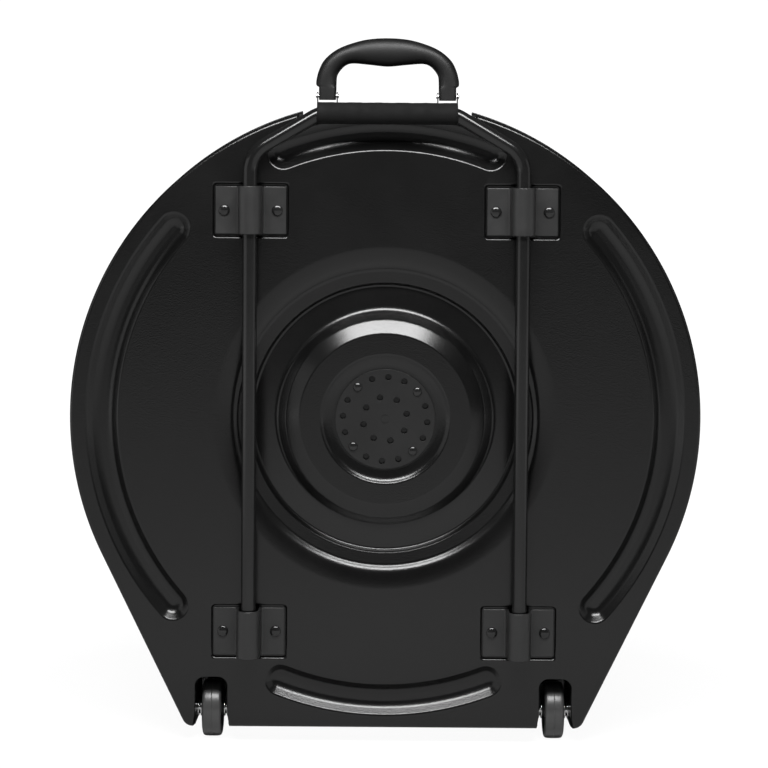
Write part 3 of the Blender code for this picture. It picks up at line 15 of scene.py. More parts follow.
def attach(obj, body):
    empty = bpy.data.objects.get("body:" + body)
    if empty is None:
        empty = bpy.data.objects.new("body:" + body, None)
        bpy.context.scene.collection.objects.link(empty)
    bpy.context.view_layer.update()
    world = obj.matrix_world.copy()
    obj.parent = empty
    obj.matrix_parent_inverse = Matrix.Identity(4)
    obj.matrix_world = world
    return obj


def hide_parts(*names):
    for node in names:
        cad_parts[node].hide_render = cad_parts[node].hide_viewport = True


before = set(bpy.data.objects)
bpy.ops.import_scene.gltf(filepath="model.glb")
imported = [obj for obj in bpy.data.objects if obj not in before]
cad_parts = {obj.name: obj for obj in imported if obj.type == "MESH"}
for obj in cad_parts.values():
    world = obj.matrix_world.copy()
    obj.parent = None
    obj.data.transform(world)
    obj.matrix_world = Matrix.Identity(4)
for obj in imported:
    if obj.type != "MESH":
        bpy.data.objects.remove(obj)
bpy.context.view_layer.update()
MM = 0.001
DEG = math.pi / 180

# %% [markdown]
# ## Camera
# A product shot like this is taken from far away with a long lens, which keeps the circle round.
# The tow bar's legs are parallel, but in the picture they close in slightly towards the floor:
# that fixes the camera's tilt, and the vertical place of the case fixes its height.

# %% Place the camera
camera_data = bpy.data.cameras.new("camera")
camera_data.lens = 101
camera_data.sensor_width = 36
camera = bpy.data.objects.new("camera", camera_data)
camera_data.shift_y = -0.0971
camera.location = (-0.0022, -2.438, 0.603)
LEAN = 87 * DEG  # level would be 90 degrees
ROLL = 0.43 * DEG
lean = Matrix.Rotation(LEAN, 3, "X") @ Matrix.Rotation(ROLL, 3, "Z")
camera.rotation_euler = lean.to_euler()
bpy.context.scene.collection.objects.link(camera)
bpy.context.scene.camera = camera
print("camera", tuple(round(v, 3) for v in camera.location), "lens", camera_data.lens, "mm")

# %% [markdown]
# ## A small helper for node trees
# Shader trees and geometry trees are both lists of nodes whose inputs are either numbers or
# links. One function that takes both keeps the trees below readable.


# %% Node helper
def add(tree, kind, inputs=None, **settings):
    """A node whose inputs are set from plain values or linked from other sockets."""
    made = tree.nodes.new(kind)
    for key, value in settings.items():
        setattr(made, key, value)
    for key, value in (inputs or {}).items():
        if isinstance(value, bpy.types.NodeSocket):
            tree.links.new(value, made.inputs[key])
        else:
            made.inputs[key].default_value = value
    return made


def open_tree(name, kind, inputs, outputs):
    """A node group with named inputs and outputs, and its two end nodes."""
    tree = bpy.data.node_groups.new(name, kind)
    for label, socket, value in inputs:
        made = tree.interface.new_socket(label, in_out="INPUT", socket_type="NodeSocket" + socket)
        if value is not None:
            made.default_value = value
    for label, socket in outputs:
        tree.interface.new_socket(label, in_out="OUTPUT", socket_type="NodeSocket" + socket)
    return tree, tree.nodes.new("NodeGroupInput").outputs, tree.nodes.new("NodeGroupOutput").inputs


def adder(tree, family):
    """Adds nodes of one family to one tree."""
    return lambda kind, inputs=None, **settings: add(tree, family + kind, inputs, **settings)


print("node helpers ready")

# %% [markdown]
# ## Studio
# The case stands on a pale floor in front of nothing but white. The world is white only where
# the camera looks straight at it. What lights the case is a soft box overhead, two more at the
# sides, a dim room and the light that the floor sends back up. In the case's reflections the
# floor has a painted shade, and far away a painted glow.

# %% World, floor and lamps
WHITE = (1, 1, 1, 1)
ROOM_LIGHT = 0.07
BACKDROP_LIGHT = 1.11
FLOOR_HALF = 8  # metres
FLOOR_PALE = 0.82
FLOOR_PAINTED_SHADE = -0.28  # painted shade, taken off its paleness only where the case mirrors it
FLOOR_PAINTED_GLOW = 1.3  # painted glow of the far floor, seen only where the case mirrors it


def cleared(owner):
    """The emptied node tree of a world or a material."""
    owner.use_nodes = True
    owner.node_tree.nodes.clear()
    return owner.node_tree


def worked_out(tree, operation, *values):
    """The result of a math node."""
    return add(tree, "ShaderNodeMath", dict(enumerate(values)), operation=operation).outputs[0]


def mixed(tree, share, first, second):
    """Two shaders mixed, with a share of the second."""
    return add(tree, "ShaderNodeMixShader", {0: share, 1: first, 2: second}).outputs[0]


def ranged(tree, value, start, end, low, high):
    """A value carried over from one range to another, and kept inside it."""
    ends = {"From Min": start, "From Max": end, "To Min": low, "To Max": high}
    return add(tree, "ShaderNodeMapRange", {"Value": value, **ends}).outputs[0]


world = bpy.data.worlds.new("studio")
bpy.context.scene.world = world
tree = cleared(world)
seen = add(tree, "ShaderNodeLightPath").outputs["Is Camera Ray"]
room, white = [
    add(tree, "ShaderNodeBackground", {"Color": WHITE, "Strength": strength}).outputs[0]
    for strength in (ROOM_LIGHT, BACKDROP_LIGHT)
]
add(tree, "ShaderNodeOutputWorld", {"Surface": mixed(tree, seen, room, white)})

floor_mesh = bpy.data.meshes.new("floor")
floor_build = bmesh.new()
bmesh.ops.create_grid(floor_build, x_segments=1, y_segments=1, size=FLOOR_HALF)
floor_build.to_mesh(floor_mesh)
floor_build.free()
floor = bpy.data.objects.new("floor", floor_mesh)
bpy.context.scene.collection.objects.link(floor)
floor_paint = bpy.data.materials.new("floor_paint")
tree = cleared(floor_paint)
path = add(tree, "ShaderNodeLightPath").outputs
spot = add(tree, "ShaderNodeTexCoord").outputs["Object"]
apart = add(tree, "ShaderNodeVectorMath", {0: spot}, operation="LENGTH").outputs["Value"]
# Where the case mirrors the floor, the floor is given a painted shade
floor_tone_and_painted_shade = worked_out(tree, "MULTIPLY_ADD", path["Is Glossy Ray"], FLOOR_PAINTED_SHADE, FLOOR_PALE)
matt = add(tree, "ShaderNodeBsdfDiffuse", {"Color": floor_tone_and_painted_shade}).outputs[0]
# The far floor has a painted glow, seen only in the case's reflections; far is its share
painted_glow = add(tree, "ShaderNodeEmission", {"Color": WHITE, "Strength": FLOOR_PAINTED_GLOW}).outputs[0]
far = worked_out(tree, "MULTIPLY", path["Is Glossy Ray"], ranged(tree, apart, 0.6, 2.4, 0, 0.4))
# The camera sees the white room through most of the floor, so a lid that hangs open shows too
through = ranged(tree, apart, 0.5, 1.3, 0.86, 1)
share = worked_out(tree, "MULTIPLY", path["Is Camera Ray"], through)
clear = add(tree, "ShaderNodeBsdfTransparent").outputs[0]
surface = mixed(tree, share, mixed(tree, far, matt, painted_glow), clear)
add(tree, "ShaderNodeOutputMaterial", {"Surface": surface})
floor_mesh.materials.append(floor_paint)


def softbox(name, place, target, width, depth, power):
    """A rectangular area lamp that faces a point."""
    data = bpy.data.lights.new(name, "AREA")
    data.shape = "RECTANGLE"
    data.size = width
    data.size_y = depth
    data.energy = power
    lamp = bpy.data.objects.new(name, data)
    lamp.location = place
    aim = Vector(target) - Vector(place)
    lamp.rotation_euler = aim.to_track_quat("-Z", "Y").to_euler()
    bpy.context.scene.collection.objects.link(lamp)


softbox("overhead_box", (0, -0.95, 1.5), (0, -0.1, 0.3), 1.3, 0.42, 36)
softbox("left_box", (-2.3, -0.75, 0.8), (0, -0.1, 0.5), 2.2, 1.5, 5.7)
softbox("right_box", (2.35, -0.45, 0.8), (0, -0.1, 0.5), 1.4, 1.5, 2.4)
bpy.context.scene.view_settings.view_transform = "Standard"

# %% [markdown]
# ## Surface effects
# Moulded plastic, powder coat and foam differ mostly in the size and depth of their grain, so one
# node group makes grain for all of them, and a second one makes the slight unevenness of colour
# and gloss that real surfaces have. Both read Object coordinates, so the pattern stays put.

# %% Shader groups
grain, taken, given = open_tree(
    "grain",
    "ShaderNodeTree",
    [
        ("Cells per metre", "Float", 700.0),
        ("Depth", "Float", 0.00005),
        ("Coarse share", "Float", 0.3),
    ],
    [("Normal", "Vector")],
)
grain_node = adder(grain, "ShaderNode")
spot = grain_node("TexCoord").outputs["Object"]
cells = grain_node("TexVoronoi", {"Vector": spot, "Scale": taken["Cells per metre"]})
rough = grain_node(
    "TexNoise", {"Vector": spot, "Scale": taken["Cells per metre"], "Detail": 2.0, "Roughness": 0.6}
)
blended = grain_node(
    "Mix", {0: taken["Coarse share"], 2: cells.outputs["Distance"], 3: rough.outputs[0]}
)
bump = grain_node(
    "Bump", {"Height": blended.outputs[0], "Distance": taken["Depth"], "Strength": 1.0}
)
grain.links.new(bump.outputs["Normal"], given["Normal"])

uneven, taken, given = open_tree(
    "uneven",
    "ShaderNodeTree",
    [
        ("Patches per metre", "Float", 12.0),
        ("Low", "Float", 0.35),
        ("High", "Float", 0.5),
        ("Dark", "Color", (0.01, 0.01, 0.01, 1)),
        ("Light", "Color", (0.03, 0.03, 0.03, 1)),
    ],
    [("Value", "Float"), ("Colour", "Color")],
)
uneven_node = adder(uneven, "ShaderNode")
spot = uneven_node("TexCoord").outputs["Object"]
cloud = uneven_node(
    "TexNoise",
    {"Vector": spot, "Scale": taken["Patches per metre"], "Detail": 4.0, "Roughness": 0.62},
)
spread = ranged(uneven, cloud.outputs[0], 0.3, 0.7, taken["Low"], taken["High"])
tint = uneven_node(
    "Mix", {0: cloud.outputs[0], 6: taken["Dark"], 7: taken["Light"]}, data_type="RGBA"
)
uneven.links.new(spread, given["Value"])
uneven.links.new(tint.outputs[2], given["Colour"])


def finish(name, dark, light, low, high, patches, cells_per_metre, depth, coarse=0.4, **constants):
    """A Principled material with a grain, and with uneven colour and roughness."""
    made = bpy.data.materials.new(name)
    made.use_nodes = True
    tree = made.node_tree
    shader = tree.nodes["Principled BSDF"]
    for label, value in constants.items():
        shader.inputs[label.replace("_", " ").title().replace("Ior", "IOR")].default_value = value
    spread = add(tree, "ShaderNodeGroup", node_tree=uneven)
    for label, value in (("Patches per metre", patches), ("Low", low), ("High", high)):
        spread.inputs[label].default_value = value
    spread.inputs["Dark"].default_value = (*dark, 1)
    spread.inputs["Light"].default_value = (*light, 1)
    tree.links.new(spread.outputs["Value"], shader.inputs["Roughness"])
    tree.links.new(spread.outputs["Colour"], shader.inputs["Base Color"])
    if depth:
        bumps = add(tree, "ShaderNodeGroup", node_tree=grain)
        bumps.inputs["Cells per metre"].default_value = cells_per_metre
        bumps.inputs["Depth"].default_value = depth
        bumps.inputs["Coarse share"].default_value = coarse
        tree.links.new(bumps.outputs["Normal"], shader.inputs["Normal"])
    return made


def grey(value, warm=0.0):
    """A grey, made warmer by a share."""
    return (value * (1 + warm), value, value * (1 - warm))


shell_plastic = finish("shell_plastic", grey(0.0022), grey(0.004), 0.19, 0.25, 9, 700, 0.00008, 0.5)
vent_plastic = finish("vent_plastic", grey(0.007), grey(0.011), 0.3, 0.38, 20, 700, 0.00008, 0.5)
powder_coat = finish("powder_coat", grey(0.011), grey(0.023), 0.33, 0.43, 40, 900, 0.00012, 0.7)
tube_paint = finish("tube_paint", grey(0.005), grey(0.008), 0.15, 0.21, 20, 1500, 0.00001)
sleeve_foam = finish(
    "sleeve_foam", grey(0.0015), grey(0.0035), 0.78, 0.92, 90, 800, 0.00025, 0.8,
    specular_ior_level=0.25,
)
handle_rubber = finish(
    "handle_rubber", grey(0.003), grey(0.006), 0.42, 0.52, 30, 1200, 0.00004,
    specular_ior_level=0.32,
)
chrome = finish("chrome", grey(0.62), grey(0.72), 0.08, 0.16, 60, 0, 0, metallic=1.0)
zinc = finish(
    "zinc", grey(0.42, 0.01), grey(0.55, 0.01), 0.28, 0.4, 80, 1500, 0.00001, metallic=1.0
)
tyre_rubber = finish("tyre_rubber", grey(0.040), grey(0.06), 0.27, 0.34, 50, 1800, 0.00003)
hub_plastic = finish("hub_plastic", grey(0.018), grey(0.026), 0.4, 0.5, 30, 1200, 0.00003)
liner_foam = finish("liner_foam", grey(0.045), grey(0.075), 0.88, 0.97, 60, 900, 0.0004, 0.8)
felt = finish("felt", grey(0.11), grey(0.2), 0.9, 1.0, 160, 1400, 0.0003, 0.9)
seal_rubber = finish("seal_rubber", grey(0.016), grey(0.026), 0.55, 0.7, 50, 1500, 0.00004)
rivet_black = finish("rivet_black", grey(0.008), grey(0.012), 0.12, 0.2, 60, 0, 0)
latch_plastic = finish("latch_plastic", grey(0.014), grey(0.02), 0.36, 0.46, 20, 900, 0.00005)
print("materials:", len(bpy.data.materials))

# %% [markdown]
# ## Sizes of the moulded shells
# The outline is a circle with a flat bottom, straight lower sides and a flat-floored well at the
# top for the carry handle. Both tubs use it, drawn in by their draft, so one function gives it.

# %% Sizes
RIM_RADIUS = 352.4 * MM
RIM_DROP = 349.0 * MM
CENTRE_HEIGHT = 360 * MM
SIDE_ANGLE = 26 * DEG
CORNER_RADIUS = 12 * MM
WELL_WIDTH = 192 * MM
WELL_FLOOR = 329 * MM
WALL = 4.2 * MM
FLANGE_PROUD = 3.2 * MM
FLANGE_HEIGHT = 10 * MM
DRAFT = 3.5 * MM
EDGE_ROUND = 4 * MM
BACK_FACE = -88.75 * MM
BACK_DEPTH = 108 * MM
PARTING = BACK_FACE + BACK_DEPTH
LID_RIM = PARTING + 0.6 * MM
LID_DEPTH = 92 * MM
LID_FACE = LID_RIM + LID_DEPTH
LEG_X = 148.1 * MM
TUBE_Y = BACK_FACE - 15 * MM
SIDES = ((-1, "left"), (1, "right"))
HINGE_X = 110 * MM
BRACKET_X = 67.53 * MM
print("case depth, mm:", round((LID_FACE - BACK_FACE) / MM, 1))


# %% Shape helpers
def arc(centre_x, centre_z, radius, start, end, steps):
    """Points on a circle from one angle to another, both ends included."""
    return [
        (
            centre_x + radius * math.cos(start + (end - start) * i / steps),
            centre_z + radius * math.sin(start + (end - start) * i / steps),
        )
        for i in range(steps + 1)
    ]


def case_outline(inset, wall, y, arc_steps=110, corner_steps=10):
    """The case's outline at one depth: inset is draft and flange, wall an offset all round."""
    radius = RIM_RADIUS - inset - wall
    drop = RIM_DROP - inset - wall
    corner = max(CORNER_RADIUS - wall, 0.5 * MM)
    well_side = WELL_WIDTH / 2 + wall
    lip = math.sqrt(radius**2 - well_side**2)
    floor_z = min(WELL_FLOOR - wall, lip - 0.5 * MM)
    corner_z = corner - drop
    corner_x = (radius - corner + corner_z * math.sin(SIDE_ANGLE)) / math.cos(SIDE_ANGLE)
    half = [(well_side, floor_z)]
    half += arc(0, 0, radius, math.atan2(lip, well_side), -SIDE_ANGLE, arc_steps)
    half += arc(corner_x, corner_z, corner, -SIDE_ANGLE, -math.pi / 2, corner_steps)
    outline = half + [(-x, z) for x, z in reversed(half)]
    return [(x, y, CENTRE_HEIGHT + z) for x, z in outline]


def show(name, mesh):
    """A mesh as an object at the origin."""
    made = bpy.data.objects.new(name, mesh)
    bpy.context.scene.collection.objects.link(made)
    return made


def from_bmesh(name, build):
    """An object from a bmesh, with its seams closed and its faces turned outwards."""
    bmesh.ops.remove_doubles(build, verts=build.verts, dist=0.000002)
    bmesh.ops.recalc_face_normals(build, faces=build.faces)
    mesh = bpy.data.meshes.new(name)
    build.to_mesh(mesh)
    build.free()
    return show(name, mesh)


def loft(name, rings, caps=True):
    """A closed skin through rings of equally many points."""
    build = bmesh.new()
    loops = [[build.verts.new(point) for point in ring] for ring in rings]
    for near, far in zip(loops, loops[1:]):
        for i in range(len(near)):
            j = (i + 1) % len(near)
            build.faces.new((near[i], near[j], far[j], far[i]))
    if caps:
        build.faces.new(loops[0])
        build.faces.new(loops[-1])
    return from_bmesh(name, build)


def block(name, low, high, place=(0, 0, 0), turn=(0, 0, 0), rounding=0.0, segments=3):
    """A box with rounded edges, given by two corners and then placed."""
    low = Vector(low)
    high = Vector(high)
    build = bmesh.new()
    stretch = Matrix.Diagonal((*(high - low), 1))
    bmesh.ops.create_cube(build, size=1, matrix=Matrix.Translation((low + high) / 2) @ stretch)
    if rounding:
        bmesh.ops.bevel(
            build,
            geom=list(build.edges),
            offset=rounding,
            segments=segments,
            profile=0.5,
            affect="EDGES",
        )
    rotation = Matrix.Rotation(turn[1], 4, "Y") @ Matrix.Rotation(turn[0], 4, "X")
    bmesh.ops.transform(build, verts=build.verts, matrix=Matrix.Translation(place) @ rotation)
    return from_bmesh(name, build)


WAYS = {
    "+Z": Matrix.Identity(4),
    "-Y": Matrix.Rotation(math.pi / 2, 4, "X"),
    "+Y": Matrix.Rotation(-math.pi / 2, 4, "X"),
    "+X": Matrix.Rotation(math.pi / 2, 4, "Y"),
}


def turned(name, profile, steps, place, way="+Z", ring=False):
    """A profile of (radius, height) points turned about an axis through a place."""
    build = bmesh.new()
    points = [build.verts.new((radius, 0, height)) for radius, height in profile]
    edges = [build.edges.new(pair) for pair in zip(points, points[1:])]
    if ring:
        edges.append(build.edges.new((points[-1], points[0])))
    bmesh.ops.spin(
        build, geom=points + edges, cent=(0, 0, 0), axis=(0, 0, 1), angle=2 * math.pi, steps=steps
    )
    matrix = Matrix.Translation(place) @ WAYS[way]
    bmesh.ops.transform(build, verts=build.verts, matrix=matrix)
    return from_bmesh(name, build)


def mm(*points):
    """Points given in millimetres."""
    return [tuple(value * MM for value in point) for point in points]


def both_ends(points):
    """A profile drawn for one end, with its mirror image as the other."""
    return [*points, *[(radius, -height) for radius, height in reversed(points)]]


def cylinder(name, radius, half, sides, place, way="+Z"):
    """A round bar about a place, to drill with or to keep; its two sizes are in millimetres."""
    return turned(name, both_ends(mm((0, half), (radius, half))), sides, place, way)


def eased(points, cut, steps=4):
    """A profile whose inner corners are rounded: cut is how far back each rounding starts."""
    made = [points[0]]
    cuts = cut if isinstance(cut, (list, tuple)) else [cut] * (len(points) - 2)
    for before, corner, after, size in zip(points, points[1:], points[2:], cuts):
        before, corner, after = Vector(before), Vector(corner), Vector(after)
        start = corner + (before - corner).normalized() * min(size, (before - corner).length * 0.49)
        end = corner + (after - corner).normalized() * min(size, (after - corner).length * 0.49)
        for i in range(steps + 1):
            t = i / steps
            made.append(tuple((1 - t) ** 2 * start + 2 * t * (1 - t) * corner + t**2 * end))
    made.append(points[-1])
    return made


def combine(target, operation, *others):
    """Boolean with the exact solver, worked out at once; the others are used up."""
    for other in others:
        modifier = target.modifiers.new(other.name, "BOOLEAN")
        modifier.operation = operation
        modifier.object = other
        modifier.solver = "EXACT"
    mesh = evaluated(target)
    name = target.name
    for used in (target, *others):
        bpy.data.objects.remove(used)
    return show(name, mesh)


def evaluated(obj):
    """The mesh that an object shows, modifiers included."""
    bpy.context.view_layer.update()
    graph = bpy.context.evaluated_depsgraph_get()
    mesh = bpy.data.meshes.new_from_object(obj.evaluated_get(graph))
    mesh.transform(obj.matrix_world)
    return mesh


def soften(obj, width, angle=50):
    """A small bevel, in millimetres, along the edges that are sharper than an angle."""
    bevel = obj.modifiers.new("soft edges", "BEVEL")
    bevel.width = width * MM
    bevel.segments = 2
    bevel.limit_method = "ANGLE"
    bevel.angle_limit = angle * DEG


def smooth(obj, angle=30, weighted=True):
    """Smooth shading with sharp edges kept, and flat faces that stay flat."""
    obj.data.shade_smooth()
    obj.data.set_sharp_from_angle(angle=angle * DEG)
    if weighted:
        modifier = obj.modifiers.new("weigh", "WEIGHTED_NORMAL")
        modifier.keep_sharp = True


def settle(obj, paint, body, slot, *nodes, angle=30, weighted=True):
    """Last step of a piece: shading, material, body and the CAD nodes it stands for; the slot
    argument is not used.
    """
    obj.data.materials.clear()
    obj.data.materials.append(paint)
    smooth(obj, angle, weighted)
    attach(obj, body)
    if nodes:
        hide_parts(*nodes)


print("shape helpers ready")

# %% [markdown]
# ## The back shell
# The real tub is moulded in one shot: every step in it is a smooth bend of one even wall. It is
# built here as a loft through outlines, with the arc grooves, clamp pockets and wheel recesses
# cut by lofts that are wider where they meet the face, which leaves a rounded lip. The round
# centre is a turned profile joined to a hole in the face.

# %% Grooves
GROOVE_RADIUS = 310.5 * MM
GROOVE_HALF = 15.5 * MM
GROOVE_BACK = 10.2 * MM
GROOVE_DEPTH = 8.95 * MM
GROOVE_LIP = 4 * MM  # radius of a groove's round edge
GROOVE_SLOPE = 42 * DEG
GROOVE_HOLLOW = 14 * MM  # radius of the hollow below the slope
GROOVE_FLAT = 2.15 * MM
GROOVE_ENDS = (44.5 * DEG, 24.2 * DEG, 44.5 * DEG, 24.2 * DEG)


def slot_outline(middle, half_angle, half_width, y, steps=44, end_steps=14):
    """An arc slot with round ends about the case's centre; the ends keep their centres."""
    outline = arc(0, 0, GROOVE_RADIUS + half_width, middle - half_angle, middle + half_angle, steps)
    for side in (1, -1):
        angle = middle + side * half_angle
        turn = 0 if side > 0 else math.pi
        end = arc(
            GROOVE_RADIUS * math.cos(angle),
            GROOVE_RADIUS * math.sin(angle),
            half_width,
            angle + turn,
            angle + turn + math.pi,
            end_steps,
        )
        outline += end[1:-1]
        if side > 0:
            outline += arc(
                0, 0, GROOVE_RADIUS - half_width, middle + half_angle, middle - half_angle, steps
            )
    return [(x, y, CENTRE_HEIGHT + z) for x, z in outline]


def groove_section(half, steps=6):
    """Half widths and depths of a wall: round at the edge, straight, then hollow to the floor."""
    section = []
    for i in range(steps + 1):
        angle = GROOVE_SLOPE * i / steps
        section.append((half - GROOVE_LIP * math.sin(angle), GROOVE_LIP * (1 - math.cos(angle))))
    for i in range(steps + 1):
        angle = GROOVE_SLOPE * (1 - i / steps)
        across = GROOVE_FLAT + GROOVE_HOLLOW * math.sin(angle)
        section.append((across, GROOVE_DEPTH - GROOVE_HOLLOW * (1 - math.cos(angle))))
    return section


def arc_grooves(name, face, inward):
    """Cutters for the four arc grooves of one face, and the walls that stay behind them."""
    cuts = []
    backs = []
    for i, end in enumerate(GROOVE_ENDS):
        middle = i * math.pi / 2
        half_angle = end - GROOVE_HALF / GROOVE_RADIUS
        widest = GROOVE_HALF + 3.5 * MM
        rings = [slot_outline(middle, half_angle, widest, face - inward * 3 * MM)]
        for half, down in groove_section(widest):
            rings.append(slot_outline(middle, half_angle, half, face + inward * down))
        cuts.append(loft(f"{name}_groove_{i}", rings))
        behind = face + inward * GROOVE_BACK
        back_rings = [
            slot_outline(middle, half_angle, GROOVE_HALF + WALL, face),
            slot_outline(middle, half_angle, GROOVE_HALF, behind),
        ]
        backs.append(loft(f"{name}_groove_back_{i}", back_rings))
    return cuts, backs


print("grooves:", len(GROOVE_ENDS), "of", round(2 * GROOVE_HALF / MM, 1), "mm")


# %% Tub and cavity
def tub(name, face, depth, inward):
    """The outside of one shell from its face to its rim, with rounded bends."""
    wall_inset = FLANGE_PROUD + DRAFT
    rings = []
    for i in range(7):
        angle = math.pi / 2 * i / 6
        back = EDGE_ROUND * (1 - math.sin(angle))
        deep = EDGE_ROUND * (1 - math.cos(angle))
        rings.append((deep, wall_inset - DRAFT * deep / depth, back))
    start = depth - FLANGE_HEIGHT
    crisp = 0.8 * MM
    rings += [
        (start - 0.7 * MM, FLANGE_PROUD + DRAFT * FLANGE_HEIGHT / depth, 0),
        (start - 0.1 * MM, FLANGE_PROUD * 0.93, 0),
    ]
    for i in range(5):
        angle = math.pi / 2 * i / 4
        rings.append((start + crisp * (1 - math.cos(angle)), crisp * (1 - math.sin(angle)), 0))
    rings += [(depth - 0.9 * MM, 0, 0), (depth - 0.3 * MM, 0.2 * MM, 0), (depth, 0.8 * MM, 0)]
    return loft(name, [case_outline(i, w, face + inward * d) for d, i, w in rings])


def cavity(name, face, depth, inward):
    """The room inside one shell, running out past its rim."""
    wall_inset = FLANGE_PROUD + DRAFT
    rings = (
        (WALL, wall_inset, WALL + 2 * MM),
        (WALL + 0.6 * MM, wall_inset, WALL + 0.6 * MM),
        (WALL + 2 * MM, wall_inset, WALL),
        (depth - 13 * MM, FLANGE_PROUD, WALL),
        (depth - 11 * MM, 0, 9.5 * MM),
        (depth + 3 * MM, 0, 9.5 * MM),
    )
    return loft(name, [case_outline(i, w, face + inward * d) for d, i, w in rings])


def centre_disc(name, profile, inner, face, way, ridge_foot, steps=160):
    """The turned centre of a face, from its outer profile and the line of its inner side."""
    ring_end = (ridge_foot, -1 * MM)
    return turned(name, [*profile, ring_end, *inner], steps, (0, face, CENTRE_HEIGHT), way)


def inner_side(*points):
    """The inner line of a wall, from points in millimetres on the line that it follows."""
    return [(radius, height - WALL) for radius, height in mm(*points)]


print("tub functions ready")

# %% Turned centre of the back
RIDGE_FOOT = 184.2 * MM  # of the lid's centre
SLOPE_FOOT = 191 * MM
# Radius, height and how far back the rounding of each bend starts
back_bends = [
    (0, 0.5, 0),
    (57.5, 0.5, 2.5),
    (66.5, 2.5, 3.5),
    (70.8, 6.0, 1.4),
    (93.9, 6.0, 1.2),
    (108.8, -2.2, 1.6),
    (119.5, -12.6, 4.0),
    (146.5, -15.4, 3.0),
    (149.0, -8.3, 0.8),
    (162.5, -7.3, 2.0),
    (168.0, -2.9, 4.0),
    (177.0, -1.0, 4.5),
    (186.5, 0.02, 4.0),
    (SLOPE_FOOT / MM, 0.02, 0),
]
back_profile = eased(
    [(r * MM, h * MM) for r, h, _ in back_bends], [cut * MM for _, _, cut in back_bends[1:-1]], 6
)
back_inner = inner_side(
    (SLOPE_FOOT / MM - 1, 0), (168, -3), (161, -7.6), (154, -8.6), (147, -15.4), (120, -12.6),
    (107, -5), (93, 6), (70, 6), (57, 0.5), (0, 0.5),
)
back_disc = centre_disc("back_disc", back_profile, back_inner, BACK_FACE, "-Y", SLOPE_FOOT)
disc_hole = cylinder("disc_hole", 188, 60, 120, (0, BACK_FACE, CENTRE_HEIGHT), "-Y")
print("points in the profile:", len(back_profile))

# %% [markdown]
# The pockets are shallow rounded rectangles that the clamps sit in. The wheel recesses are deeper
# and open at the bottom, where the moulding flares outwards.


# %% Pockets and wheel recesses
def rounded_rectangle(half_x, half_z, rounding, steps=6):
    """Outline of a rectangle with round corners."""
    outline = []
    for quarter, (sx, sz) in enumerate(((1, 1), (-1, 1), (-1, -1), (1, -1))):
        outline += arc(
            sx * (half_x - rounding),
            sz * (half_z - rounding),
            rounding,
            quarter * math.pi / 2,
            (quarter + 1) * math.pi / 2,
            steps,
        )
    return outline


POCKET_HALF = (40.6 * MM, 28.9 * MM)
POCKET_DEPTH = 3.5 * MM
CLAMP_Z = {"upper": 587.1 * MM, "lower": 124.3 * MM}
RIVET_STEP = 28.9 * MM
pocket_cuts = []
pocket_backs = []
for side in (-1, 1):
    for level, z in CLAMP_Z.items():
        rings = []
        for grow, down in (
            (2.2, -3),
            (2.2, 0),
            (1.5, 0.12),
            (0.9, 0.45),
            (0.4, 1.0),
            (0.0, 1.8),
            (-0.2, 2.8),
            (-0.6, 3.3),
            (-1.3, 3.5),
        ):
            shape = rounded_rectangle(
                POCKET_HALF[0] + grow * MM, POCKET_HALF[1] + grow * MM, 4 * MM
            )
            y = BACK_FACE + down * MM
            rings.append([(side * LEG_X + x, y, z + h) for x, h in shape])
        pocket_cuts.append(loft(f"pocket_{level}_{side}", rings))
        low = (-POCKET_HALF[0] - WALL, 0, -POCKET_HALF[1] - WALL)
        high = (POCKET_HALF[0] + WALL, POCKET_DEPTH + WALL, POCKET_HALF[1] + WALL)
        pocket_backs.append(
            block(f"pocket_back_{level}_{side}", low, high, (side * LEG_X, BACK_FACE, z))
        )

WHEEL_X = 189.76 * MM
WHEEL_RADIUS = 31.5 * MM
AXLE_Y = BACK_FACE + 34 * MM


def recess_outline(x, grow, flare, y):
    """Wheel recess seen from behind: round at the top, flaring at the open bottom."""
    half = 17.3 * MM + grow
    top = 72.4 * MM + grow
    rounding = 10 * MM + grow
    points = []
    for i in range(13):
        t = i / 12
        z = -3 * MM + t * 48 * MM
        spread = min(1, max(0, 34 * MM - z) / (15 * MM)) ** 2
        points.append((half + 1.6 * MM * (1 - t) + 4.5 * MM * flare * spread, z))
    side_points = points + arc(half - rounding, top - rounding, rounding, 0, math.pi / 2, 8)
    other = [(-a, b) for a, b in reversed(side_points)]
    return [(x + a, y, b) for a, b in side_points + other]


wheel_cuts = []
wheel_houses = []
for side in (-1, 1):
    x = side * WHEEL_X
    rings = [
        recess_outline(x, grow * MM, flare, BACK_FACE + down * MM)
        for grow, flare, down in (
            (2.4, 1.0, -3),
            (2.4, 1.0, 0),
            (1.5, 0.9, 0.2),
            (0.7, 0.75, 0.8),
            (0.2, 0.6, 1.8),
            (0.0, 0.45, 3.2),
            (0.0, 0.0, 16),
            (0.0, 0.0, 69),
            (-0.8, 0.0, 71),
            (-2.0, 0.0, 71.5),
        )
    ]
    wheel_cuts.append(loft(f"recess_{side}", rings))
    house = [recess_outline(x, WALL, 0, BACK_FACE + down * MM) for down in (0, 71.5 + WALL / MM)]
    wheel_houses.append(loft(f"wheel_house_{side}", house))
    skirt = mm((-19, 70, 11.3), (19, 75, 34))
    wheel_houses.append(block(f"wheel_skirt_{side}", *skirt, (x, BACK_FACE, 0)))
    bore = cylinder(f"axle_bore_{side}", 4.3, 24, 24, (x, AXLE_Y, WHEEL_RADIUS), "+X")
    wheel_cuts.append(bore)
print("pockets:", len(pocket_cuts), "recess cutters:", len(wheel_cuts))

# %% Reliefs, ribs and the gasket's groove
RELIEF_HALF = 28 * MM
SIDE_SEAT = 348.8 * MM
HINGE_SEAT = 14.1 * MM
LATCHES = (
    ("top", (0, PARTING, CENTRE_HEIGHT + WELL_FLOOR), 0.0),
    ("right", (SIDE_SEAT, PARTING, CENTRE_HEIGHT), math.pi / 2),
    ("left", (-SIDE_SEAT, PARTING, CENTRE_HEIGHT), -math.pi / 2),
)


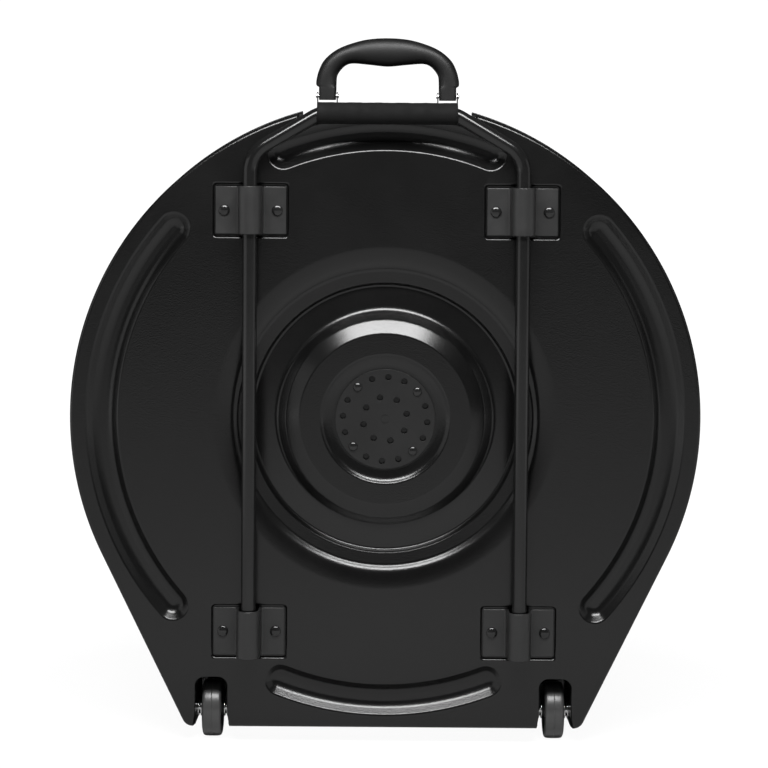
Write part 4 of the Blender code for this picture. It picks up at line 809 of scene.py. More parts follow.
def reliefs(label):
    """Flats that are cut into both flanges for the side latches and the hinges."""
    cuts = []
    for name, place, turn in LATCHES[1:]:
        cuts.append(
            block(
                f"{label}_relief_{name}",
                (-RELIEF_HALF, -34 * MM, 0),
                (RELIEF_HALF, 37 * MM, 8 * MM),
                place,
                (0, turn, 0),
            )
        )
    for side in (-1, 1):
        cuts.append(
            block(
                f"{label}_hinge_relief_{side}",
                *mm((-33, -13, -6.1), (33, 13, 0)),
                (side * HINGE_X, PARTING + 0.3 * MM, HINGE_SEAT),
            )
        )
    return cuts


def collar(name, inset, start, end):
    """A solid inside the case's outline, between two depths about the parting, in mm."""
    return loft(name, [case_outline(0, inset * MM, PARTING + step * MM) for step in (start, end)])


ribs = [
    block(f"rib_{name}", *mm((-17, -9.5, -1), (17, -7, 4.8)), place, (0, turn, 0), 0.4 * MM, 2)
    for name, place, turn in LATCHES
]
gasket_groove = combine(
    collar("gasket_groove", 4.6, -2.6, 3), "DIFFERENCE", collar("gasket_core", 7, -5, 6)
)
rivet_spots = [
    (side * LEG_X + step * RIVET_STEP, z)
    for side in (-1, 1)
    for z in CLAMP_Z.values()
    for step in (-1, 1)
]
rivet_bores = [
    cylinder(f"rivet_bore_{i}", 2.7, 12, 16, (x, BACK_FACE, z), "-Y")
    for i, (x, z) in enumerate(rivet_spots)
]
print("ribs:", len(ribs), "rivet bores:", len(rivet_bores))

# %% Put the back shell together
back_cuts, back_backs = arc_grooves("back", BACK_FACE, 1)
back_room = combine(
    cavity("back_room", BACK_FACE, BACK_DEPTH, 1),
    "DIFFERENCE",
    *back_backs,
    *pocket_backs,
    *wheel_houses,
)
back = combine(
    tub("back_tub", BACK_FACE, BACK_DEPTH, 1),
    "DIFFERENCE",
    back_room,
    *back_cuts,
    *pocket_cuts,
    disc_hole,
)
back = combine(back, "UNION", back_disc)
back = combine(back, "DIFFERENCE", *wheel_cuts, *rivet_bores, gasket_groove, *reliefs("back"))
back = combine(back, "UNION", *ribs)
# Places on a circle, its radius in mm, its first angle in degrees, and how often a rivet takes one
VENT_OUTER = (16, 46.2, 41, 4)
VENT_INNER = (8, 24.3, 14, None)
vent_wells = []
for count, circle, first, rivet_every in (VENT_OUTER, VENT_INNER):
    for k in range(count):
        if rivet_every is None or k % rivet_every:
            angle = (first + 360 * k / count) * DEG
            x, z = circle * MM * math.cos(angle), circle * MM * math.sin(angle)
            well = mm((0, 2), (3.5, 2), (3.5, -3.2), (0, -3.2))
            spot = (x, BACK_FACE, CENTRE_HEIGHT + z)
            vent_wells.append(turned("vent_well", well, 20, spot, "-Y"))
back = combine(back, "DIFFERENCE", *vent_wells)
back.name = "back_tub"
settle(back, shell_plastic, "case_back", "shell", "back_shell")
print("back shell faces:", len(back.data.polygons))

# %% [markdown]
# ## The lid
# The lid is the same kind of tub with a plain round panel in place of the vent. It is out of sight
# in the photograph, so its middle follows what such lids usually have.

# %% Build the lid
lid_corners = [
    (0, 2.0),
    (104.0, 2.0),
    (109.5, 0.4),
    (117.0, -5.5),
    (146.5, -5.5),
    (150.5, -4.0),
    (159.0, 3.8),
    (164.0, 5.2),
    (169.5, 4.2),
    (RIDGE_FOOT / MM, 0.0),
]
lid_profile = eased(mm(*lid_corners), [cut * MM for cut in (3, 3, 3, 3, 3, 4, 3, 4)], 5)
lid_inner = inner_side(
    (RIDGE_FOOT / MM - 1, 0), (164, 5), (158, 1), (150, -5.5), (117, -5.5), (104, 2), (0, 2)
)
lid_disc = centre_disc("lid_disc", lid_profile, lid_inner, LID_FACE, "+Y", RIDGE_FOOT)
lid_hole = cylinder("lid_hole", 174, 60, 120, (0, LID_FACE, CENTRE_HEIGHT), "+Y")
lid_cuts, lid_backs = arc_grooves("lid", LID_FACE, -1)
lid_room = combine(cavity("lid_room", LID_FACE, LID_DEPTH, -1), "DIFFERENCE", *lid_backs)
lid = combine(tub("lid_tub", LID_FACE, LID_DEPTH, -1), "DIFFERENCE", lid_room, *lid_cuts, lid_hole)
lid = combine(lid, "UNION", lid_disc)
lid = combine(lid, "DIFFERENCE", *reliefs("lid"))
lid.name = "lid_tub"
settle(lid, shell_plastic, "lid", "shell", "lid_shell")
print("lid faces:", len(lid.data.polygons))

# %% [markdown]
# ## Geometry Nodes: three small trees
# Things that repeat or follow a path are made by trees. One bends a tube round the corners of a
# path, one sets copies of a template on points, and one perforates a disc with rings of holes.


# %% Run a tree
def grown(name, start, tree, values):
    """Runs a tree on a mesh or curve and returns the result as a plain mesh object."""
    holder = bpy.data.objects.new(name + "_start", start)
    bpy.context.scene.collection.objects.link(holder)
    modifier = holder.modifiers.new(name, "NODES")
    modifier.node_group = tree
    for item in tree.interface.items_tree:
        if item.in_out == "INPUT" and item.name in values:
            modifier[item.identifier] = values[item.name]
    mesh = evaluated(holder)
    bpy.data.objects.remove(holder)
    build = bmesh.new()
    build.from_mesh(mesh)
    bmesh.ops.remove_doubles(build, verts=build.verts, dist=0.000002)
    bmesh.ops.recalc_face_normals(build, faces=build.faces)
    build.to_mesh(mesh)
    build.free()
    return show(name, mesh)


def close_tree(tree, geometry, paint, given):
    """Every tree ends with plain geometry and a material."""
    real = add(tree, "GeometryNodeRealizeInstances", {"Geometry": geometry})
    painted = add(
        tree, "GeometryNodeSetMaterial", {"Geometry": real.outputs["Geometry"], "Material": paint}
    )
    tree.links.new(painted.outputs["Geometry"], given["Geometry"])


GEOMETRY = [("Geometry", "Geometry")]
bent_tube, taken, given = open_tree(
    "bent_tube",
    "GeometryNodeTree",
    [
        ("Path", "Geometry", None),
        ("Bend radius", "Float", 0.034),
        ("Tube radius", "Float", 0.008),
        ("Sides", "Int", 32),
        ("Paint", "Material", None),
    ],
    GEOMETRY,
)
tube_node = adder(bent_tube, "GeometryNode")
bent = tube_node(
    "FilletCurve",
    {"Curve": taken["Path"], "Radius": taken["Bend radius"], "Count": 20},
    mode="POLY",
)
section = tube_node(
    "CurvePrimitiveCircle", {"Resolution": taken["Sides"], "Radius": taken["Tube radius"]}
)
skin = tube_node(
    "CurveToMesh",
    {"Curve": bent.outputs[0], "Profile Curve": section.outputs[0], "Fill Caps": True},
)
close_tree(bent_tube, skin.outputs[0], taken["Paint"], given)

copies, taken, given = open_tree(
    "copies_on_points",
    "GeometryNodeTree",
    [
        ("Points", "Geometry", None),
        ("Template", "Object", None),
        ("Turn", "Vector", (0, 0, 0)),
        ("Paint", "Material", None),
    ],
    GEOMETRY,
)
copy_node = adder(copies, "GeometryNode")
template = copy_node("ObjectInfo", {"Object": taken["Template"]})
turn = add(copies, "FunctionNodeEulerToRotation", {"Euler": taken["Turn"]})
placed = copy_node(
    "InstanceOnPoints",
    {
        "Points": taken["Points"],
        "Instance": template.outputs["Geometry"],
        "Rotation": turn.outputs[0],
    },
)
close_tree(copies, placed.outputs[0], taken["Paint"], given)


def points_mesh(name, places):
    """A mesh of loose points."""
    mesh = bpy.data.meshes.new(name)
    mesh.from_pydata(places, [], [])
    return mesh


def repeat(name, template_object, places, turn, paint):
    """Copies of a template on places; the template is used up."""
    values = {"Template": template_object, "Turn": turn, "Paint": paint}
    made = grown(name, points_mesh(name, places), copies, values)
    bpy.data.objects.remove(template_object)
    return made


print("trees:", bent_tube.name, copies.name)

# %% [markdown]
# ## Rivets and washers
# Each rivet is a turned dome with a flat underside. The template is drawn once, standing on the
# origin, and the tree sets it on the places where the fasteners sit.


# %% Fastener templates
def dome(radius, height, shank, length, sides=28):
    """A rivet, in millimetres: a domed head that stands on the origin and a shank below it."""
    profile = [(0, height)]
    for i in range(1, 8):
        angle = math.pi / 2 * i / 7
        profile.append((radius * math.sin(angle), height * (0.18 + 0.82 * math.cos(angle))))
    profile += [(radius, 0), (shank, 0), (shank, -length), (0, -length)]
    return turned("dome", mm(*profile), sides, (0, 0, 0))


FACES_BACK = (math.pi / 2, 0, 0)
seat = BACK_FACE + 0.4 * MM
clamp_rivets = repeat(
    "clamp_rivets",
    dome(6, 3, 2.4, 7.8),
    [(x, seat, z) for x, z in rivet_spots],
    FACES_BACK,
    rivet_black,
)
settle(
    clamp_rivets,
    rivet_black,
    "case_back",
    "rivet",
    *[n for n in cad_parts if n.startswith("clamp_rivet")],
)
tails = repeat(
    "rivet_tails",
    turned("tail", eased(mm((0, 1.5), (5, 1.5), (5, 0), (0, 0)), 0.5 * MM), 20, (0, 0, 0)),
    [(x, BACK_FACE + (POCKET_DEPTH + WALL) + 1.8 * MM, z) for x, z in rivet_spots],
    FACES_BACK,
    zinc,
)
settle(tails, zinc, "case_back", "steel")
print("rivets:", len(rivet_spots))

# %% [markdown]
# ## Perforated plate
# A stamped disc lies on the raised boss, held by four rivets. Its holes follow a rule: sixteen
# places on the outer circle, of which each fourth holds a rivet, and eight on the inner one. A
# tree that fills a flat drawing of circles and gives it a thickness says exactly that.

# %% Perforation tree
perforated, taken, given = open_tree(
    "perforated_disc",
    "GeometryNodeTree",
    [
        ("Start", "Geometry", None),
        ("Radius", "Float", 0.0545),
        ("Thickness", "Float", 0.0015),
        ("Hole radius", "Float", 0.0036),
        ("Outer circle", "Float", VENT_OUTER[1] * MM),
        ("Outer places", "Int", VENT_OUTER[0]),
        ("Rivet every", "Int", VENT_OUTER[3]),
        ("Outer turn", "Vector", (0, 0, VENT_OUTER[2] * DEG)),
        ("Inner circle", "Float", VENT_INNER[1] * MM),
        ("Inner places", "Int", VENT_INNER[0]),
        ("Inner turn", "Vector", (0, 0, VENT_INNER[2] * DEG)),
        ("Place", "Vector", (0, 0, 0)),
        ("Paint", "Material", None),
    ],
    GEOMETRY,
)
disc_node = adder(perforated, "GeometryNode")
edge, hole = [
    disc_node("CurvePrimitiveCircle", {"Resolution": sides, "Radius": radius})
    for sides, radius in ((120, taken["Radius"]), (24, taken["Hole radius"]))
]
index = disc_node("InputIndex")
left_over = add(
    perforated,
    "FunctionNodeIntegerMath",
    {0: index.outputs[0], 1: taken["Rivet every"]},
    operation="MODULO",
)
is_hole = add(
    perforated,
    "FunctionNodeCompare",
    {"A": left_over.outputs[0], "B": 0},
    data_type="INT",
    operation="NOT_EQUAL",
)
drawings = [edge.outputs[0]]
for circle, places, turn_by, pick in (
    ("Outer circle", "Outer places", "Outer turn", is_hole.outputs[0]),
    ("Inner circle", "Inner places", "Inner turn", True),
):
    ring = disc_node("CurvePrimitiveCircle", {"Resolution": taken[places], "Radius": taken[circle]})
    dots = disc_node("CurveToPoints", {"Curve": ring.outputs[0]}, mode="EVALUATED")
    holes = disc_node(
        "InstanceOnPoints",
        {"Points": dots.outputs["Points"], "Selection": pick, "Instance": hole.outputs[0]},
    )
    loose = disc_node("RealizeInstances", {"Geometry": holes.outputs[0]})
    turned_ring = disc_node("Transform", {"Geometry": loose.outputs[0], "Rotation": taken[turn_by]})
    drawings.append(turned_ring.outputs[0])
joined = disc_node("JoinGeometry")
for drawing in drawings:
    perforated.links.new(drawing, joined.inputs[0])
filled = disc_node("FillCurve", {"Curve": joined.outputs[0]}, mode="NGONS")
under = disc_node("FlipFaces", {"Mesh": filled.outputs[0]})
raised = disc_node(
    "ExtrudeMesh",
    {"Mesh": filled.outputs[0], "Offset Scale": taken["Thickness"], "Individual": False},
)
both = disc_node("JoinGeometry")
perforated.links.new(under.outputs[0], both.inputs[0])
perforated.links.new(raised.outputs[0], both.inputs[0])
upright = disc_node(
    "Transform",
    {"Geometry": both.outputs[0], "Rotation": (math.pi / 2, 0, 0), "Translation": taken["Place"]},
)
close_tree(perforated, upright.outputs[0], taken["Paint"], given)

vent = grown(
    "vent_disc",
    points_mesh("vent_start", [(0, 0, 0)]),
    perforated,
    {
        "Radius": 54.5 * MM,
        "Thickness": 1.5 * MM,
        "Hole radius": 3.5 * MM,
        "Place": (0, BACK_FACE - 0.8 * MM, CENTRE_HEIGHT),
        "Paint": vent_plastic,
    },
)
soften(vent, 0.5, 60)
vent_mark = turned(
    "vent_mark",
    mm((4.1, 3), (4.1, 1.8), (4.9, 1.8), (4.9, 3)),
    32,
    (0, BACK_FACE, CENTRE_HEIGHT),
    "-Y",
    ring=True,
)
vent = combine(vent, "DIFFERENCE", vent_mark)
settle(vent, vent_plastic, "case_back", "shell", "vent_plate")
vent_spots = []
for k in range(4):
    angle = (VENT_OUTER[2] + 90 * k) * DEG
    x, z = VENT_OUTER[1] * MM * math.cos(angle), VENT_OUTER[1] * MM * math.sin(angle)
    vent_spots.append((x, BACK_FACE - 2.3 * MM, CENTRE_HEIGHT + z))
vent_rivets = repeat("vent_rivets", dome(5.0, 2.8, 2, 2), vent_spots, FACES_BACK, rivet_black)
settle(vent_rivets, rivet_black, "case_back", "rivet")
print("vent faces:", len(vent.data.polygons))

# %% [markdown]
# ## Tow bar
# The bar is one steel tube with four bends. A path of straight stretches holds its rule, and the
# tree rounds the corners. The foam sleeve is turned, with a slightly soft outline.

# %% Tow bar and sleeve
GRIP_Z = CENTRE_HEIGHT + 332.5 * MM
GRIP_CORNER = 72.1 * MM
SHOULDER_Z = GRIP_Z - (LEG_X - GRIP_CORNER) * math.tan(30.5 * DEG)
TUBE_START = 114.4 * MM
tow_path = bpy.data.curves.new("tow_path", "CURVE")
tow_path.dimensions = "3D"
line = tow_path.splines.new("POLY")
stops = [
    (-LEG_X, TUBE_START),
    (-LEG_X, SHOULDER_Z),
    (-GRIP_CORNER, GRIP_Z),
    (GRIP_CORNER, GRIP_Z),
    (LEG_X, SHOULDER_Z),
    (LEG_X, TUBE_START),
]
line.points.add(len(stops) - 1)
for point, (x, z) in zip(line.points, stops):
    point.co = (x, TUBE_Y, z, 1)
tow = grown(
    "tow_tube",
    tow_path,
    bent_tube,
    {"Bend radius": 34 * MM, "Tube radius": 8 * MM, "Sides": 40, "Paint": tube_paint},
)
settle(tow, tube_paint, "tow_handle", "tube", "tow_bar", angle=60, weighted=False)

sleeve_half = 76 * MM
sleeve_end = [
    (8.4 * MM, sleeve_half - 0.5 * MM),
    (11.0 * MM, sleeve_half),
    (11.9 * MM, sleeve_half - 1.2 * MM),
]
sleeve_profile = list(sleeve_end)
for i in range(1, 40):
    along = sleeve_half - 1.2 * MM - i * (2 * sleeve_half - 2.4 * MM) / 40
    swell = 0.12 * MM * math.sin(i * 0.9) + 0.08 * MM * math.sin(i * 2.3)
    sleeve_profile.append((11.75 * MM + swell, along))
sleeve_profile += [(radius, -along) for radius, along in reversed(sleeve_end)]
sleeve = turned("foam_sleeve", sleeve_profile, 48, (0, TUBE_Y, GRIP_Z), "+X")
settle(sleeve, sleeve_foam, "tow_handle", "sleeve", "tow_sleeve", angle=50, weighted=False)

for side, name in SIDES:
    end = turned(
        f"tow_shoe_{name}",
        eased(mm((0, 27), (6.2, 27), (6.2, 12), (9.9, 12), (9.9, 0), (0, 0)), 0.8 * MM, 3),
        40,
        (side * LEG_X, TUBE_Y, 102.1 * MM),
    )
    settle(end, hub_plastic, "tow_handle", "hub", f"tow_end_{name}")
print("tow bar path points:", len(stops))

# %% [markdown]
# ## Clamps
# Each clamp is a strip of sheet steel pressed into a saddle over the tube. Its section, seen from
# above, is drawn once with eased bends and pulled up over the clamp's height.


# %% Clamps and bushes
def saddle_section():
    """The clamp's closed section: across, and out from the back face."""
    base = -POCKET_DEPTH + 0.3 * MM
    sheet = 2.5 * MM
    out = 15 * MM
    bore = 10.6 * MM
    outer = bore + sheet
    half = 38.5 * MM
    inner_line = [(-half, base), (-bore, base)]
    inner_line += arc(0, out, bore, math.pi, 0, 24)
    inner_line += [(bore, base), (half, base)]
    top = base + sheet
    foot = 3.0 * MM
    outer_line = [(half, top), (outer + foot, top)]
    outer_line += [
        (outer + foot * (1 - math.sin(a)), top + foot * (1 - math.cos(a)))
        for a in [math.pi / 2 * i / 5 for i in range(1, 6)]
    ]
    outer_line += arc(0, out, outer, 0, math.pi, 28)
    outer_line += [
        (-outer - foot * (1 - math.sin(a)), top + foot * (1 - math.cos(a)))
        for a in [math.pi / 2 * i / 5 for i in range(5, 0, -1)]
    ]
    outer_line += [(-outer - foot, top), (-half, top)]
    return inner_line + outer_line


def prism(name, section, x, low, high):
    """A section of (across, out) points pulled up between two heights."""
    rings = [[(x + a, BACK_FACE - b, z) for a, b in section] for z in (low, high)]
    return loft(name, rings)


for side, name in SIDES:
    for level, z in CLAMP_Z.items():
        x = side * LEG_X
        clamp = prism(f"{level}_saddle_{name}", saddle_section(), x, z - 26 * MM, z + 26 * MM)
        holes = [
            cylinder("saddle_hole", 2.7, 9, 20, (x + step * RIVET_STEP, BACK_FACE, z), "-Y")
            for step in (-1, 1)
        ]
        if level == "lower":
            rim = arc(0, 15 * MM, 11.8 * MM, 0, math.pi, 24)
            plate = [(11.8 * MM, -3.2 * MM), *rim, (-11.8 * MM, -3.2 * MM)]
            low = z - 25 * MM
            clamp = combine(clamp, "UNION", prism("saddle_floor", plate, x, low, low + 2.5 * MM))
        clamp = combine(clamp, "DIFFERENCE", *holes)
        soften(clamp, 0.8)
        settle(clamp, powder_coat, "case_back", "clamp", f"{level}_clamp_{name}")
    bush = turned(
        f"bush_{name}",
        eased(
            mm((8.4, 24), (8.4, 26), (10.3, 26), (10.3, -26), (8.4, -26), (8.4, 23)), 0.5 * MM, 2
        ),
        40,
        (side * LEG_X, TUBE_Y, CLAMP_Z["upper"]),
        ring=True,
    )
    settle(bush, hub_plastic, "case_back", "hub", f"guide_bush_{name}")
print("clamps: 4")

# %% [markdown]
# ## Carry handle
# A moulded grip, round in the middle and flatter in the legs. It is a loft: pairs of points on
# the outer and inner edge give the width of each section, and the section's corners grow
# squarer towards the legs' ends.

# %% Carry handle
HANDLE_Y = -6.75 * MM
HANDLE_BOTTOM = 711.3 * MM
HANDLE_HALF_WIDTH = 80.2 * MM
HANDLE_RISE = 69.2 * MM
PIN_Z = 715.3 * MM
# Pairs of shares of the half width and height: outer edge, inner edge, squareness
HANDLE_STATIONS = (
    (0.960, 0.000, 0.724, 0.000, 7.0),
    (0.960, 0.100, 0.720, 0.090, 7.0),
    (0.960, 0.188, 0.717, 0.175, 6.0),
    (0.963, 0.205, 0.716, 0.190, 5.0),
    (0.990, 0.222, 0.716, 0.215, 4.0),
    (1.000, 0.243, 0.715, 0.240, 3.4),
    (1.000, 0.305, 0.713, 0.310, 3.0),
    (0.968, 0.461, 0.704, 0.385, 2.6),
    (0.893, 0.634, 0.667, 0.461, 2.4),
    (0.742, 0.790, 0.592, 0.548, 2.3),
    (0.547, 0.896, 0.4875, 0.585, 2.2),
    (0.290, 0.976, 0.260, 0.566, 2.2),
    (0.000, 1.000, 0.000, 0.539, 2.2),
)


def between(a, b, c, d, t):
    """Catmull-Rom value between b and c."""
    square = (2 * a - 5 * b + 4 * c - d) * t**2
    cube = (3 * b - a - 3 * c + d) * t**3
    return 0.5 * (2 * b + (c - a) * t + square + cube)


def handle_sections():
    """Stations along the whole handle, refined between the given ones."""
    given_half = [list(s) for s in HANDLE_STATIONS]
    mirrored = [[-s[0], s[1], -s[2], s[3], s[4]] for s in reversed(given_half[:-1])]
    rows = given_half + mirrored
    fine = []
    for i in range(len(rows) - 1):
        before = rows[max(i - 1, 0)]
        after = rows[min(i + 2, len(rows) - 1)]
        steps = 2 if i < 6 or i > len(rows) - 8 else 6
        for k in range(steps):
            t = k / steps
            if i in (0, 1, 2) or i > len(rows) - 5:
                fine.append([a + (b - a) * t for a, b in zip(rows[i], rows[i + 1])])
            else:
                four = zip(before, rows[i], rows[i + 1], after)
                fine.append([between(a, b, c, d, t) for a, b, c, d in four])
    fine.append(rows[-1])
    return fine


rings = []
for outer_x, outer_z, inner_x, inner_z, square in handle_sections():
    outer = Vector((outer_x * HANDLE_HALF_WIDTH, HANDLE_Y, HANDLE_BOTTOM + outer_z * HANDLE_RISE))
    inner = Vector((inner_x * HANDLE_HALF_WIDTH, HANDLE_Y, HANDLE_BOTTOM + inner_z * HANDLE_RISE))
    middle = (outer + inner) / 2
    across = (outer - inner) / 2
    ring = []
    for i in range(36):
        angle = 2 * math.pi * i / 36
        c, s = math.cos(angle), math.sin(angle)
        wide = math.copysign(abs(c) ** (2 / square), c)
        deep = math.copysign(abs(s) ** (2 / square), s)
        point = middle + across * wide
        ring.append((point.x, HANDLE_Y + deep * 11 * MM, point.z))
    rings.append(ring)
grip = loft("handle_grip", rings)
pin_bores = [
    cylinder(f"pin_bore_{side}", 2.1, 14, 20, (side * 67.5 * MM, HANDLE_Y, PIN_Z), "+X")
    for side in (-1, 1)
]
grip = combine(grip, "DIFFERENCE", *pin_bores)
grip.name = "handle_grip"
settle(grip, handle_rubber, "handle", "handle", "carry_handle", angle=40, weighted=False)
print("handle stations:", len(rings))


# %% Handle brackets and pins
def ear(name, x, low, pin_z, half, thickness, y):
    """A sheet ear with a round top about the pin."""
    outline = [(-half, low), (half, low)]
    outline += arc(0, pin_z, half, 0, math.pi, 20)
    rings = [[(x + t, y + a, b) for a, b in outline] for t in (-thickness / 2, thickness / 2)]
    return loft(name, rings)


WELL_Z = CENTRE_HEIGHT + WELL_FLOOR + 0.3 * MM
for side, name in SIDES:
    x = side * BRACKET_X
    base = block(
        f"bracket_{name}", *mm((-18, -12, 0), (18, 12, 2)), (x, HANDLE_Y, WELL_Z), rounding=0.5 * MM
    )
    ears = [
        ear(
            f"ear_{own}", x + own * 11.01 * MM, WELL_Z + 1 * MM, PIN_Z, 4.5 * MM, 1.3 * MM, HANDLE_Y
        )
        for own in (-1, 1)
    ]
    bore = cylinder("bore", 2.1, 20, 20, (x, HANDLE_Y, PIN_Z), "+X")
    bracket = combine(base, "UNION", *ears)
    bracket = combine(bracket, "DIFFERENCE", bore)
    soften(bracket, 0.25)
    settle(bracket, chrome, "case_back", "chrome", f"handle_bracket_{name}")
    profile = both_ends(mm((0, 13.06), (1.6, 12.96), (2.5, 12.46), (2.6, 11.96), (1.8, 11.96)))
    pin = turned(f"handle_rivet_{name}", profile, 24, (x, HANDLE_Y, PIN_Z), "+X")
    settle(pin, chrome, "case_back", "chrome", f"handle_pin_{name}")
bracket_rivets = repeat(
    "bracket_rivets",
    dome(2.4, 1.2, 1.5, 3, 20),
    [
        (side * BRACKET_X + own * 14.6 * MM, HANDLE_Y + y * MM, WELL_Z + 2 * MM)
        for side in (-1, 1)
        for own in (-1, 1)
        for y in (-7.5, 7.5)
    ],
    (0, 0, 0),
    zinc,
)
settle(bracket_rivets, zinc, "case_back", "steel")
print("bracket rivets: 8")

# %% [markdown]
# ## Wheels
# Solid wheels run in deep recesses at the lower corners. The tyre is turned with a fine seam
# round its middle, and thin washers fill the space beside the hub.

# %% Wheels
tread_half = ((22.3, 10.0), (23.5, 10.75), (28.0, 10.75), (31.0, 9.2), (31.42, 4.0), (31.48, 0.45))
hub_half = mm(
    (4.3, 12), (8.5, 12), (8.5, 5.6), (10.5, 5), (17.0, 5), (19.0, 9.0), (19.6, 9.65), (22.0, 9.65)
)
for side, name in SIDES:
    place = (side * WHEEL_X, AXLE_Y, WHEEL_RADIUS)
    tread = eased(
        mm(*tread_half, (31.1, 0.0), *[(r, -h) for r, h in reversed(tread_half)]),
        [cut * MM for cut in (0.6, 1.5, 2.2, 2, 0.2, 0.15, 0.2, 2, 2.2, 1.5, 0.6)],
        4,
    )
    tyre = turned(f"tread_{name}", tread, 96, place, "+X", ring=True)
    settle(tyre, tyre_rubber, f"wheel_{name}", "tyre", f"tyre_{name}")
    hub_profile = eased(both_ends(hub_half), 0.5 * MM, 2)
    hub = turned(f"wheel_hub_{name}", hub_profile, 64, place, "+X", ring=True)
    settle(hub, hub_plastic, f"wheel_{name}", "hub", f"hub_{name}")
    profile = both_ends(mm((0, 26.5), (4.5, 26.2), (5.9, 24.9), (6, 23.5), (4, 23.5)))
    axle = turned(f"axle_rod_{name}", profile, 32, place, "+X")
    settle(axle, chrome, "case_back", "chrome", f"axle_{name}")
    washer = turned(
        "washer",
        eased(mm((4.3, 0), (9.5, 0), (9.5, 1.4), (4.3, 1.4)), 0.3 * MM, 2),
        32,
        (0, 0, 0),
        ring=True,
    )
    spots = [(place[0] + offset * MM, place[1], place[2]) for offset in (12.3, 15.5, -13.7, -16.9)]
    washers = repeat(f"washers_{name}", washer, spots, (0, math.pi / 2, 0), chrome)
    settle(washers, chrome, "case_back", "chrome")
print("wheels: 2")

# %% [markdown]
# ## Feet, hinges and latches
# These sit under and around the lid. They are small sheet and moulded pieces, so most are blocks
# and turned shapes with softened edges, joined into one piece each.

# %% Feet
for side, name in SIDES:
    x, y = side * 150 * MM, LID_RIM + 60 * MM
    foot = turned(
        f"rubber_foot_{name}",
        eased(mm((0, 17.3), (15, 17.3), (12.2, 0), (5, 0), (4.2, 4), (0, 4)), 1.0 * MM, 3),
        48,
        (x, y, 0),
    )
    settle(foot, seal_rubber, "lid", "seal", f"foot_{name}")
    screw = repeat(
        f"foot_screw_{name}", dome(3.6, 1.6, 2, 1, 20), [(x, y, 3.9 * MM)], (math.pi, 0, 0), zinc
    )
    settle(screw, zinc, "lid", "steel")
print("feet: 2")

# %% Hinges
AXIS_Z = 10.1 * MM
AXIS_Y = PARTING + 0.3 * MM
rod_half = mm((0, 31.5), (1.8, 31.4), (2.5, 30.8), (2.5, 30.3), (1.5, 30.3))
hinge_rivet_spots = {"case_back": [], "lid": []}
for side, name in SIDES:
    x = side * HINGE_X
    for shell, way, body, knuckles in (
        ("back", -1, "case_back", ((-30, -11), (11, 30))), ("lid", 1, "lid", ((-10.5, 10.5),))
    ):
        near, far = sorted((way * 4.2, way * 26))
        leaf = block(
            f"hinge_plate_{shell}_{name}",
            *mm((-30, near, 1.8), (30, far, 3.7)),
            (x, AXIS_Y, AXIS_Z),
        )
        parts = []
        for low, high in knuckles:
            a, b = sorted((0, way * 5.2))
            parts.append(block("tab", *mm((low, a, 1.8), (high, b, 3.7)), (x, AXIS_Y, AXIS_Z)))
            half = (high - low) / 2
            parts.append(
                cylinder(
                    "knuckle", 3.4, half, 28, (x + (low + high) / 2 * MM, AXIS_Y, AXIS_Z), "+X"
                )
            )
        bore = cylinder("bore", 1.8, 34, 20, (x, AXIS_Y, AXIS_Z), "+X")
        leaf = combine(leaf, "UNION", *parts)
        leaf = combine(leaf, "DIFFERENCE", bore)
        soften(leaf, 0.3)
        settle(leaf, zinc, body, "steel", f"hinge_leaf_{shell}_{name}")
        for step in (-20, 0, 20):
            hinge_rivet_spots[body].append(
                (x + step * MM, AXIS_Y + way * 17 * MM, AXIS_Z + 1.8 * MM)
            )
    pin = turned(f"hinge_rod_{name}", both_ends(rod_half), 24, (x, AXIS_Y, AXIS_Z), "+X")
    settle(pin, zinc, "case_back", "steel", f"hinge_pin_{name}")
for body, spots in hinge_rivet_spots.items():
    rivets = repeat(
        f"hinge_rivets_{body}", dome(3, 1.3, 1.5, 1.5, 20), spots, (math.pi, 0, 0), zinc
    )
    settle(rivets, zinc, body, "steel")
print("hinge rivets:", sum(len(v) for v in hinge_rivet_spots.values()))

# %% Latches
PIVOT_DEPTH = 24 * MM
PIVOT_HEIGHT = 6 * MM


def aimed(name, part, place, turn):
    """Moves a piece from the latch's own frame to its place on the rim."""
    part.data.transform(Matrix.Translation(place) @ Matrix.Rotation(turn, 4, "Y"))
    part.name = name
    return part


def rod(name, radius, half, sides=28):
    """A round bar along X through the latch's pivot, in the latch's own frame."""
    return cylinder(name, radius, half, sides, (0, PIVOT_DEPTH, PIVOT_HEIGHT), "+X")


